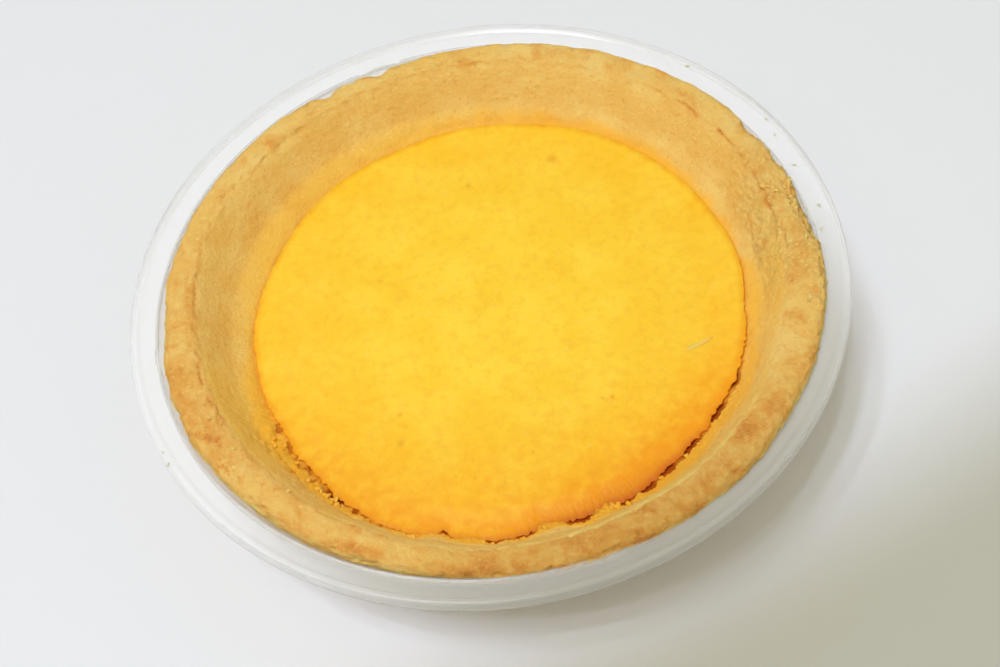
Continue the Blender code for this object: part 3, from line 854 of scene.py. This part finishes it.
def make_cup(form, cup):
    shape = spun_shape(cup_profile(form, cup), CUP_STEPS)
    middle = min(shape.faces, key=lambda face: face.calc_center_median().length)
    if middle.normal.z < 0.0:
        bmesh.ops.reverse_faces(shape, faces=shape.faces)
    lug_radius = form.rim_end[0] + CUP_WALL_GAP + COLLAR_FLARE
    lug_height = cup.flange_height - LUG_DROP
    half_turn = math.degrees(0.5 * LUG_SIZE[1] / lug_radius)
    for vertex in shape.verts:
        point = vertex.co
        if math.hypot(point.x, point.y) < CUP_BASE_RADIUS:
            continue
        azimuth, radius, outward = around(point)
        push = 0.0
        on_wall = 1.0 - smooth_step(lug_radius + 0.2 * MM, lug_radius + 0.5 * MM, radius)
        for lug_azimuth in LUG_AZIMUTHS:
            lobe = bump(azimuth, lug_azimuth, 1.3 * half_turn) * mound(point.z, lug_height, LUG_SIZE[2])
            push += LUG_SIZE[0] * lobe * on_wall
        push += 0.04 * MM * lumps(outward, 0.4, 2.2) * smooth_step(10.0 * MM, cup.flange_height, point.z)
        vertex.co = point + outward * push
        if radius > form.rim_end[0]:
            vertex.co.z += 0.03 * MM * lumps(outward, 0.35, 5.2)
    made = finished_object("clear_cup", shape, cup_material(cup), "dish")
    wall = made.modifiers.new("Wall", "SOLIDIFY")
    wall.thickness = cup.wall
    wall.offset = -1.0


def add_lump(shape, layers, place, size, finish, chance, roughness=1.2):
    """A small broken lump with its middle at place. size is its three widths."""
    made = bmesh.ops.create_icosphere(shape, subdivisions=2, radius=0.5)["verts"]
    seed = chance.uniform(0.0, 90.0)
    for vertex in made:
        vertex.co *= 1.0 + roughness * lumps(vertex.co, 0.5, seed)
        for layer, value in zip(layers, finish):
            vertex[layer] = value
    bmesh.ops.scale(shape, vec=size, verts=made)
    turn = Matrix.Rotation(chance.uniform(0.0, 2.0 * math.pi), 3, "Z")
    tilt = Matrix.Rotation(chance.uniform(-0.9, 0.9), 3, "X")
    bmesh.ops.rotate(shape, matrix=turn @ tilt, verts=made)
    bmesh.ops.translate(shape, vec=place, verts=made)


def surface_under(tree, x, y):
    """The point and normal where something that falls at (x, y) comes to lie."""
    place, normal, _, _ = tree.ray_cast(Vector((x, y, 0.05)), Vector((0.0, 0.0, -1.0)))
    if place is None:
        raise RuntimeError("nothing lies under a crumb")
    return place, normal


def tree_of(name):
    made = bpy.data.objects.get(name)
    if made is None:
        raise RuntimeError(f"make {name} before its crumbs")
    graph = bpy.context.evaluated_depsgraph_get()
    return BVHTree.FromObject(made, graph)


def make_crack_crumbs(form, crumbs):
    """Crumbs and torn bits that lie in and above the crack."""
    tree = tree_of("baked_crust")
    chance = random.Random(crumbs.seed)
    shape = bmesh.new()
    layers = float_layers(shape, "browned_and_shaded", "stained", "pale")
    wall_turn = math.atan(form.slope)
    for middle, half, count, low, high in CRACK_CRUMB_SPANS:
        for _ in range(round(count * crumbs.amount)):
            azimuth = math.radians(chance.triangular(middle - half, middle + half))
            along = chance.uniform(low, high)
            height = form.edge[1] + along * math.sin(wall_turn)
            outward = Vector((math.cos(azimuth), math.sin(azimuth), 0.0))
            start = Vector((0.0, 0.0, height)) + outward * 20.0 * MM
            place, normal, _, _ = tree.ray_cast(start, outward)
            if place is None:
                raise RuntimeError("the crust has no wall where a crumb belongs")
            width = crumbs.size * (0.35 + 1.1 * chance.random() ** 2.0)
            size = tuple(width * chance.uniform(0.5, 1.25) * flat for flat in (1.0, 1.0, 0.6))
            browned_and_shaded = max(chance.gauss(0.0, 0.15), 0.0)
            finish = (browned_and_shaded, chance.uniform(0.8, 1.0), chance.uniform(-0.3, 0.4))
            add_lump(shape, layers, place + normal * 0.12 * width, size, finish, chance)
    finished_object("crack_crumbs", shape, crust_material())


def make_rim_flakes(form, crumbs):
    """Light flakes of broken pastry that lie on the rim and the ridge."""
    tree = tree_of("baked_crust")
    chance = random.Random(crumbs.seed + 1)
    profile = form.crust_profile()
    along = lengths_from(profile, form.edge)
    shape = bmesh.new()
    layers = float_layers(shape, "browned_and_shaded", "stained", "pale")
    for middle, half, count, low, high in FLAKE_SPANS:
        for _ in range(round(count * crumbs.amount)):
            azimuth = math.radians(chance.triangular(middle - half, middle + half))
            wanted = chance.uniform(low, high)
            radius = next(point[0] for point, length in zip(profile, along) if length >= wanted)
            radius = min(radius, form.tart_radius - FLAKE_MARGIN)
            x = radius * math.cos(azimuth) + TART_SHIFT[0]
            y = radius * math.sin(azimuth)
            place, normal = surface_under(tree, x, y)
            width = crumbs.size * (0.3 + 0.8 * chance.random() ** 2.0)
            size = (width * chance.uniform(0.9, 1.7), width * chance.uniform(0.7, 1.2), width * 0.3)
            finish = (0.0, chance.uniform(0.0, 0.3), chance.uniform(0.2, 0.9))
            add_lump(shape, layers, place + normal * 0.05 * width, size, finish, chance, 1.6)
    finished_object("rim_flakes", shape, crust_material())


def make_flange_crumbs(crumbs):
    """The few crumbs that have fallen on the cup's flange."""
    tree = tree_of("clear_cup")
    chance = random.Random(crumbs.seed + 2)
    shape = bmesh.new()
    layers = float_layers(shape, "browned_and_shaded", "stained", "pale")
    for x, y, width in FLANGE_CRUMBS:
        place, normal = surface_under(tree, x, y)
        for _ in range(3):
            aside = Vector((chance.uniform(-1.0, 1.0), chance.uniform(-1.0, 1.0), 0.0)) * 0.5 * width
            size = tuple(width * chance.uniform(0.35, 0.8) for _ in range(3))
            finish = (0.0, 0.0, 2.0)
            add_lump(shape, layers, place + aside + normal * 0.3 * width, size, finish, chance)
    finished_object("flange_crumbs", shape, crust_material())


def make_sliver(crumbs):
    """The pale sliver that lies on the filling near its right edge."""
    tree = tree_of("baked_filling")
    chance = random.Random(crumbs.seed + 3)
    shape = bmesh.new()
    layers = float_layers(shape, "toasted_and_shaded", "marked")
    start, end = (Vector(point) for point in SLIVER_ENDS)
    length = (end - start).length
    middle = (start + end) * 0.5
    made = bmesh.ops.create_icosphere(shape, subdivisions=3, radius=0.5)["verts"]
    for vertex in made:
        vertex.co *= 1.0 + 0.35 * lumps(vertex.co, 0.5, chance.uniform(4.0, 4.01))
        vertex[layers[0]] = 0.0
        vertex[layers[1]] = -0.65
    place, normal = surface_under(tree, middle.x, middle.y)
    bmesh.ops.scale(shape, vec=(length, SLIVER_WIDTH, 0.1 * MM), verts=made)
    turn = Matrix.Rotation(math.atan2(end.y - start.y, end.x - start.x), 3, "Z")
    bmesh.ops.rotate(shape, matrix=turn, verts=made)
    bmesh.ops.translate(shape, vec=place + normal * 0.03 * MM, verts=made)
    finished_object("filling_sliver", shape, filling_material())


def set_inputs(node, inputs):
    """Links a node's inputs to other nodes, or gives them a value."""
    for name, value in inputs.items():
        if isinstance(value, bpy.types.NodeSocket):
            node.id_data.links.new(value, node.inputs[name])
        else:
            node.inputs[name].default_value = value


def add_node(tree, kind, inputs, **options):
    """A node with its options and inputs set."""
    node = tree.nodes.new(kind)
    for name, value in options.items():
        setattr(node, name, value)
    set_inputs(node, inputs)
    return node


def colour(value):
    return tuple(value) + (1.0,)


def mixed(tree, share, first, second):
    """A colour between two others, by share."""
    return add_node(tree, "ShaderNodeMix", {0: share, 6: first, 7: second}, data_type="RGBA").outputs[2]


def painted(tree, base, *coats):
    """A colour with coats laid over it in turn, each a share and a colour."""
    for share, coat in coats:
        base = mixed(tree, share, base, colour(coat))
    return base


def ranged(tree, value, low, high, first=0.0, second=1.0):
    """value between low and high, smoothed to run from first to second."""
    inputs = {"Value": value, "From Min": low, "From Max": high, "To Min": first, "To Max": second}
    return add_node(tree, "ShaderNodeMapRange", inputs, interpolation_type="SMOOTHSTEP").outputs["Result"]


def noise_of(tree, place, size, detail=2.0, roughness=0.5):
    inputs = {"Vector": place, "Scale": 1.0 / size, "Detail": detail, "Roughness": roughness}
    return add_node(tree, "ShaderNodeTexNoise", inputs).outputs["Fac"]


def scaled(tree, first, second, operation="MULTIPLY"):
    return add_node(tree, "ShaderNodeMath", {0: first, 1: second}, operation=operation).outputs[0]


def bumped(tree, height, strength, distance):
    """A shading normal for relief that is too fine for the mesh."""
    inputs = {"Height": height, "Strength": strength, "Distance": distance}
    return add_node(tree, "ShaderNodeBump", inputs).outputs["Normal"]


def object_place(tree):
    return add_node(tree, "ShaderNodeTexCoord", {}).outputs["Object"]


def attribute(tree, name):
    return add_node(tree, "ShaderNodeAttribute", {}, attribute_name=name).outputs["Fac"]


def new_material(name):
    material = bpy.data.materials.new(name)
    material.use_nodes = True
    return material, material.node_tree, material.node_tree.nodes["Principled BSDF"]


def crust_material():
    """Dry baked shortcrust: grainy gold, with browner patches, custard stains and pale edges, painted shade
    in its hollows and crack, and painted light on its outer face and ridge.
    """
    found = bpy.data.materials.get("baked shortcrust")
    if found:
        return found
    crust = bpy.context.scene.cheese_tart.crust
    material, tree, shader = new_material("baked shortcrust")
    place = object_place(tree)
    browned_and_shaded, stained, pale, crumbly = (
        attribute(tree, name) for name in ("browned_and_shaded", "stained", "pale", "crumbly")
    )
    clouds = ranged(tree, noise_of(tree, place, 5.0 * MM, 3.0), 0.35, 0.68)
    grit = noise_of(tree, place, 1.3 * MM, 5.0, 0.7)
    # Painted shade rides on the brownness: the darker colours below also darken creases, pits, hollows and
    # the crack.
    toast_and_shade = scaled(tree, browned_and_shaded, ranged(tree, grit, 0.3, 0.68, 0.5, 1.3))
    speck = ranged(tree, noise_of(tree, place, 0.6 * MM, 4.0, 0.65), 0.54, 0.68)
    glint = ranged(tree, noise_of(tree, place, 0.45 * MM, 3.0, 0.6), 0.56, 0.7)
    base = painted(
        tree,
        mixed(tree, clouds, colour(crust.colour), colour(crust.light_colour)),
        (scaled(tree, ranged(tree, pale, 0.0, -1.0), 0.8), crust.khaki_colour),
        (ranged(tree, toast_and_shade, 0.0, 0.7), crust.toast_and_shade_colour),
        (ranged(tree, toast_and_shade, 0.45, 1.3), crust.brown_colour),
        (scaled(tree, ranged(tree, pale, 0.0, 1.0), 0.85), crust.pale_colour),
        (scaled(tree, speck, ranged(tree, pale, 0.2, 1.0, 0.6, 0.1)), crust.toast_and_shade_colour),
        # The glints are pale grains, made stronger where the crust is crumbly as painted light against the
        # shade of its bumps.
        (scaled(tree, glint, ranged(tree, crumbly, 0.3, 1.0, 0.38, 0.95)), crust.pale_colour),
        (scaled(tree, stained, ranged(tree, grit, 0.3, 0.7, 1.0, 0.8)), crust.stain_colour),
        (ranged(tree, pale, 1.3, 2.0), crust.crumb_colour),
        (ranged(tree, scaled(tree, browned_and_shaded, stained), 0.3, 1.0), crust.deep_colour),
    )
    sand = noise_of(tree, place, 0.55 * MM, 5.0, 0.7)
    height = scaled(tree, sand, ranged(tree, crumbly, 0.0, 1.0, 0.8, 1.15))
    set_inputs(shader, {
        "Base Color": base,
        "Roughness": 0.85,
        "Specular IOR Level": 0.2,
        "Subsurface Weight": 0.1,
        "Subsurface Radius": (1.0, 0.8, 0.5),
        "Subsurface Scale": 0.5 * MM,
        "Normal": bumped(tree, height, 1.0, 0.3 * MM),
    })
    return material


def filling_material():
    """Baked cheese filling: smooth and yellow, with a satin sheen and painted glints, darker towards its
    near edge from toasting and towards its near side from painted shade.
    """
    found = bpy.data.materials.get("baked filling")
    if found:
        return found
    filling = bpy.context.scene.cheese_tart.filling
    material, tree, shader = new_material("baked filling")
    place = object_place(tree)
    toasted_and_shaded, marked = (attribute(tree, name) for name in ("toasted_and_shaded", "marked"))
    clouds = ranged(tree, noise_of(tree, place, 7.0 * MM, 3.0), 0.32, 0.68)
    fleck = ranged(tree, noise_of(tree, place, 1.3 * MM, 4.0, 0.65), 0.45, 0.68)
    glint = ranged(tree, noise_of(tree, place, 0.5 * MM, 3.0, 0.6), 0.55, 0.72)
    streaky = ranged(tree, noise_of(tree, place, 1.6 * MM, 3.0), 0.3, 0.7, 0.7, 1.05)
    base = painted(
        tree,
        mixed(tree, clouds, colour(filling.colour), colour(filling.light_colour)),
        (scaled(tree, fleck, 0.22), filling.toast_and_shade_colour),
        # Painted highlights: pale glints scattered over the filling.
        (scaled(tree, glint, 0.22), filling.pale_colour),
        (ranged(tree, scaled(tree, toasted_and_shaded, streaky), 0.0, 1.0), filling.toast_and_shade_colour),
        (ranged(tree, toasted_and_shaded, 0.95, 1.7), filling.crack_colour),
        (scaled(tree, ranged(tree, marked, 0.0, 1.0), 0.8), filling.mark_colour),
        (scaled(tree, ranged(tree, marked, -0.1, -1.0), 0.6), filling.pale_colour),
    )
    set_inputs(shader, {
        "Base Color": base,
        "Roughness": 0.5,
        "Specular IOR Level": 0.25,
        "Subsurface Weight": 0.3,
        "Subsurface Radius": (1.0, 0.5, 0.1),
        "Subsurface Scale": 1.5 * MM,
        "Normal": bumped(tree, noise_of(tree, place, 0.45 * MM, 3.0, 0.6), 0.5, 0.1 * MM),
    })
    return material


def cup_material(cup):
    """Thin clear plastic that lets the lamps' light through to what stands in it and behind it."""
    material, tree, shader = new_material("clear plastic")
    set_inputs(shader, {
        "Base Color": colour(cup.colour),
        "Alpha": 0.5,
        "Transmission Weight": 0.65,
        "Roughness": 0.08,
        "IOR": 1.1,
        "Coat Weight": 1.0,
        "Coat Roughness": 0.2,
        "Coat IOR": 1.5,
        "Normal": bumped(tree, noise_of(tree, object_place(tree), 4.0 * MM), 0.15, 0.05 * MM),
    })
    clear = add_node(tree, "ShaderNodeBsdfTransparent", {"Color": colour(cup.shade_colour)})
    ray = add_node(tree, "ShaderNodeLightPath", {})
    sides = {0: ray.outputs["Is Shadow Ray"], 1: shader.outputs["BSDF"], 2: clear.outputs["BSDF"]}
    blend = add_node(tree, "ShaderNodeMixShader", sides)
    set_inputs(tree.nodes["Material Output"], {"Surface": blend.outputs["Shader"]})
    return material


def floor_material(stage):
    """A plain pale table top, with the slightest unevenness."""
    material, tree, shader = new_material("pale table")
    darker = tuple(part * 0.985 for part in stage.floor_colour)
    cloudy = noise_of(tree, object_place(tree), 80.0 * MM)
    set_inputs(shader, {
        "Base Color": painted(tree, colour(stage.floor_colour), (cloudy, darker)),
        "Roughness": 0.6,
        "Specular IOR Level": 0.2,
    })
    return material


def make_floor(stage):
    shape = bmesh.new()
    bmesh.ops.create_grid(shape, x_segments=8, y_segments=8, size=0.5 * stage.floor_size)
    mesh = bpy.data.meshes.new("floor")
    shape.to_mesh(mesh)
    shape.free()
    mesh.materials.append(floor_material(stage))
    floor = bpy.data.objects.new("floor", mesh)
    bpy.context.scene.collection.objects.link(floor)


def aimed_light(name, kind, aim, power, tint):
    """A lamp that looks at the tart from aim: (azimuth, elevation, distance)."""
    data = bpy.data.lights.new(name, kind)
    data.energy = power
    data.color = tint
    lamp = bpy.data.objects.new(name, data)
    turn, rise = math.radians(aim[0]), math.radians(aim[1])
    back = Vector((math.cos(turn) * math.cos(rise), math.sin(turn) * math.cos(rise), math.sin(rise)))
    lamp.location = back * aim[2]
    lamp.rotation_mode = "QUATERNION"
    lamp.rotation_quaternion = (-back).to_track_quat("-Z", "Y")
    lamp.visible_camera = False
    bpy.context.scene.collection.objects.link(lamp)
    return lamp


def make_lights(stage):
    """A ring of cool lamps whose pool ends at the near right, two broad warm lamps and an even sky."""
    offsets = [Vector((0.0, 0.0, 0.0))]
    for index in range(KEY_LAMPS):
        turn = 2.0 * math.pi * index / KEY_LAMPS
        offsets.append(Vector((stage.key_ring * math.cos(turn), stage.key_ring * math.sin(turn), 0.0)))
    for offset in offsets:
        aim = KEY_AIM + (stage.key_distance,)
        key = aimed_light("key", "SPOT", aim, stage.key_power / len(offsets), stage.key_tint)
        key.location += offset
        to_pool = KEY_POOL - key.location
        key.rotation_quaternion = to_pool.to_track_quat("-Z", "Y")
        key.data.spot_size = 2.0 * to_pool.angle(KEY_EDGE - key.location)
        key.data.spot_blend = KEY_BLEND
        key.data.shadow_soft_size = 0.5 * stage.key_size
    broad = (
        ("fill", FILL_AIM, stage.fill_power, FILL_WIDTH),
        ("bounce", BOUNCE_AIM, stage.bounce_power, BOUNCE_WIDTH),
    )
    for name, aim, power, width in broad:
        lamp = aimed_light(name, "AREA", aim, power, stage.fill_tint)
        lamp.data.shape = "SQUARE"
        lamp.data.size = width
    world = bpy.data.worlds.new("studio")
    bpy.context.scene.world = world
    world.use_nodes = True
    tree = world.node_tree
    ray = add_node(tree, "ShaderNodeLightPath", {})
    mirrored = scaled(tree, ray.outputs["Is Glossy Ray"], ray.outputs["Is Transmission Ray"], "MAXIMUM")
    strength = ranged(tree, mirrored, 0.0, 1.0, stage.sky_strength, stage.gloss_strength)
    set_inputs(tree.nodes["Background"], {"Color": colour(stage.sky_colour), "Strength": strength})


def make_camera(stage):
    """The camera at the photo's angle: it looks at aim, and is rolled about its own axis."""
    rise = math.radians(stage.camera_elevation)
    roll = math.radians(stage.camera_roll)
    forward = Vector((0.0, math.cos(rise), -math.sin(rise)))
    level = Vector((1.0, 0.0, 0.0))
    upright = level.cross(forward)
    across = level * math.cos(roll) - upright * math.sin(roll)
    up = level * math.sin(roll) + upright * math.cos(roll)
    data = bpy.data.cameras.new("camera")
    data.sensor_width = SENSOR_WIDTH
    data.lens = CAMERA_FOCAL_PIXELS * SENSOR_WIDTH / IMAGE_WIDTH
    data.clip_start = 0.01
    camera = bpy.data.objects.new("camera", data)
    turn = Matrix((across, up, -forward)).transposed().to_4x4()
    lens = Vector(stage.camera_aim) - forward * stage.camera_distance
    camera.matrix_world = Matrix.Translation(lens) @ turn
    bpy.context.scene.collection.objects.link(camera)
    bpy.context.scene.camera = camera


def number_property(name, description, default, **options):
    return bpy.props.FloatProperty(name=name, description=description, default=default, **options)


def length_property(name, description, default):
    return number_property(name, description, default, unit="LENGTH", precision=5)


def colour_property(name, description, default):
    options = {"subtype": "COLOR", "min": 0.0, "max": 1.0}
    return bpy.props.FloatVectorProperty(name=name, description=description, default=default, **options)


class CheeseTartCrust(bpy.types.PropertyGroup):
    radius: length_property("Radius", "Radius of the tart's outline at the rim", 40.15 * MM)
    height: length_property("Height", "Height of the rim's top above the table", 21.0 * MM)
    rim_half_width: length_property("Rim half width", "Half the width of the rim's section", 2.3 * MM)
    rim_half_height: length_property("Rim half height", "Half the height of the rim's section", 2.1 * MM)
    colour: colour_property("Colour", "Baked shortcrust", display(239, 192, 99))
    light_colour: colour_property("Light colour", "Lighter clouds in the shortcrust", display(243, 205, 117))
    # The edge colour also paints light on the shaded outer face and the highlight along the near-right
    # ridge.
    pale_colour: colour_property("Edge colour", "Pale outer edge, glints and flakes", display(250, 221, 130))
    # The wall colour also paints bounce light on the near-left inner wall.
    khaki_colour: colour_property("Wall colour", "Yellower parts of the inner wall", display(244, 196, 82))
    crumb_colour: colour_property("Loose crumbs", "Crumbs fallen on the cup", display(236, 230, 190))
    # These darker colours also paint shade into the crust's creases, pits, hollows and crack.
    toast_and_shade_colour: colour_property("Toasted", "Toasted rim and specks", display(231, 168, 78))
    brown_colour: colour_property("Brown", "Brownest patches", display(214, 140, 60))
    stain_colour: colour_property("Stain", "Crust that the filling has stained", display(255, 188, 48))
    # The crack colour is partly painted shade, darkest where the crack is deep.
    deep_colour: colour_property("Crack", "Deep, dark places in the torn band", display(184, 84, 0))


class CheeseTartFilling(bpy.types.PropertyGroup):
    radius: length_property("Radius", "Radius of the filling's top", 31.1 * MM)
    edge_height: length_property("Edge height", "Height of the filling's edge above the table", 14.0 * MM)
    dome: length_property("Dome", "Rise of the filling's middle over its edge", 0.9 * MM)
    colour: colour_property("Colour", "Baked filling", display(252, 203, 44))
    light_colour: colour_property("Light colour", "Lighter clouds in the filling", display(254, 212, 60))
    # The pale colour also paints the filling's glints as highlights.
    pale_colour: colour_property("Pale", "Pale flecks", display(253, 206, 120))
    # This colour also paints shade over the filling's near side and into its crack.
    toast_and_shade_colour: colour_property("Toasted", "Toasted edge", display(237, 158, 8))
    # The filling's crack colour is partly painted shade in the crack.
    crack_colour: colour_property("Crack", "The filling's side in the crack", display(205, 108, 10))
    mark_colour: colour_property("Marks", "Pits and nicks", display(236, 168, 34))


class CheeseTartCup(bpy.types.PropertyGroup):
    wall: length_property("Wall", "Thickness of the cup's wall", 0.35 * MM)
    flange_height: length_property("Flange height", "Height of the flange's upper face", 18.9 * MM)
    bead_radius: length_property("Bead radius", "Radius where the bead starts", 42.4 * MM)
    lip_radius: length_property("Lip radius", "Outer radius of the lip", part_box("dish")[1].x)
    skirt_depth: length_property("Skirt", "Depth of the skirt under the lip", 1.6 * MM)
    colour: colour_property("Colour", "Clear plastic", (0.93, 0.935, 0.925))
    shade_colour: colour_property("Shade", "Light that the plastic lets through", (0.97, 0.97, 0.97))


class CheeseTartCrumbs(bpy.types.PropertyGroup):
    size: length_property("Size", "Width of a large crumb", 0.65 * MM)
    amount: number_property("Amount", "Share of the crumbs", 1.0, subtype="FACTOR")
    seed: bpy.props.IntProperty(name="Seed", description="Another number scatters them anew", default=7)


class CheeseTartStage(bpy.types.PropertyGroup):
    floor_size: length_property("Floor size", "Side of the square floor", 6.0)
    floor_colour: colour_property("Floor colour", "Pale table top", (0.8, 0.805, 0.81))
    key_distance: length_property("Key distance", "From the main lamps to the tart", 0.75)
    key_power: number_property("Key power", "Power of the ring of main lamps", 12.9, unit="POWER")
    key_size: length_property("Key size", "Width of each of the main lamps", 0.0244)
    key_ring: length_property("Key ring", "Radius of the ring of main lamps", 0.1)
    key_tint: colour_property("Key tint", "Colour of the main lamps", (0.726, 0.78, 1.0))
    fill_power: number_property("Fill power", "Power of the soft lamp", 1.94, unit="POWER")
    fill_tint: colour_property("Fill tint", "Colour of the soft lamp", (1.0, 0.97, 0.58))
    bounce_power: number_property("Bounce power", "Power of the weak lamp", 0.46, unit="POWER")
    sky_colour: colour_property("Sky colour", "Colour of the light from all round", (1.0, 0.98, 0.9))
    sky_strength: number_property("Sky strength", "Strength of that light", 0.408)
    gloss_strength: number_property("Gloss strength", "Its strength in reflections", 0.85)
    camera_elevation: number_property("Camera elevation", "Degrees above the table", 53.03)
    camera_roll: number_property("Camera roll", "Degrees that the camera is turned", 10.31)
    camera_distance: length_property("Camera distance", "From the lens to the aim", 0.33)
    camera_aim: bpy.props.FloatVectorProperty(
        name="Camera aim",
        description="Point at the picture's middle",
        default=(0.76 * MM, -5.82 * MM, 18.0 * MM),
        precision=5,
    )


class CheeseTartSettings(bpy.types.PropertyGroup):
    crust: bpy.props.PointerProperty(type=CheeseTartCrust)
    filling: bpy.props.PointerProperty(type=CheeseTartFilling)
    cup: bpy.props.PointerProperty(type=CheeseTartCup)
    crumbs: bpy.props.PointerProperty(type=CheeseTartCrumbs)
    stage: bpy.props.PointerProperty(type=CheeseTartStage)


def form_of(context):
    settings = context.scene.cheese_tart
    return TartForm(settings.crust, settings.filling, settings.cup)


class CHEESETART_OT_crust(bpy.types.Operator):
    """Make the baked crust in place of its plain solid"""

    bl_idname = "cheese_tart.crust"
    bl_label = "Crust"

    def execute(self, context):
        make_crust(form_of(context))
        return {"FINISHED"}


class CHEESETART_OT_filling(bpy.types.Operator):
    """Make the baked filling in place of its plain solid"""

    bl_idname = "cheese_tart.filling"
    bl_label = "Filling"

    def execute(self, context):
        make_filling(form_of(context))
        return {"FINISHED"}


class CHEESETART_OT_cup(bpy.types.Operator):
    """Make the clear cup in place of its plain solid"""

    bl_idname = "cheese_tart.cup"
    bl_label = "Cup"

    def execute(self, context):
        make_cup(form_of(context), context.scene.cheese_tart.cup)
        return {"FINISHED"}


class CHEESETART_OT_crumbs(bpy.types.Operator):
    """Scatter the crumbs and flakes, and lay the sliver on the filling"""

    bl_idname = "cheese_tart.crumbs"
    bl_label = "Crumbs"

    def execute(self, context):
        form = form_of(context)
        crumbs = context.scene.cheese_tart.crumbs
        make_crack_crumbs(form, crumbs)
        make_rim_flakes(form, crumbs)
        make_flange_crumbs(crumbs)
        make_sliver(crumbs)
        return {"FINISHED"}


class CHEESETART_OT_stage(bpy.types.Operator):
    """Set the pale floor, the soft light and the camera"""

    bl_idname = "cheese_tart.stage"
    bl_label = "Stage"

    def execute(self, context):
        stage = context.scene.cheese_tart.stage
        make_floor(stage)
        make_lights(stage)
        make_camera(stage)
        context.scene.view_settings.view_transform = "Standard"
        return {"FINISHED"}


class CHEESETART_PT_panel(bpy.types.Panel):
    bl_idname = "CHEESETART_PT_panel"
    bl_label = "Cheese Tart"
    bl_space_type = "VIEW_3D"
    bl_region_type = "UI"
    bl_category = "Tart"

    def draw(self, context):
        settings = context.scene.cheese_tart
        groups = (
            (CHEESETART_OT_crust, settings.crust),
            (CHEESETART_OT_filling, settings.filling),
            (CHEESETART_OT_cup, settings.cup),
            (CHEESETART_OT_crumbs, settings.crumbs),
            (CHEESETART_OT_stage, settings.stage),
        )
        for operator, group in groups:
            box = self.layout.box()
            box.operator(operator.bl_idname)
            for name in group.__annotations__:
                box.prop(group, name)


CLASSES = (
    CheeseTartCrust,
    CheeseTartFilling,
    CheeseTartCup,
    CheeseTartCrumbs,
    CheeseTartStage,
    CheeseTartSettings,
    CHEESETART_OT_crust,
    CHEESETART_OT_filling,
    CHEESETART_OT_cup,
    CHEESETART_OT_crumbs,
    CHEESETART_OT_stage,
    CHEESETART_PT_panel,
)


def register():
    for item in CLASSES:
        bpy.utils.register_class(item)
    bpy.types.Scene.cheese_tart = bpy.props.PointerProperty(type=CheeseTartSettings)


def unregister():
    del bpy.types.Scene.cheese_tart
    for item in reversed(CLASSES):
        bpy.utils.unregister_class(item)


def main():
    register()
    bpy.ops.cheese_tart.crust()
    bpy.ops.cheese_tart.filling()
    bpy.ops.cheese_tart.cup()
    bpy.ops.cheese_tart.crumbs()
    bpy.ops.cheese_tart.stage()


if __name__ == "__main__":
    main()
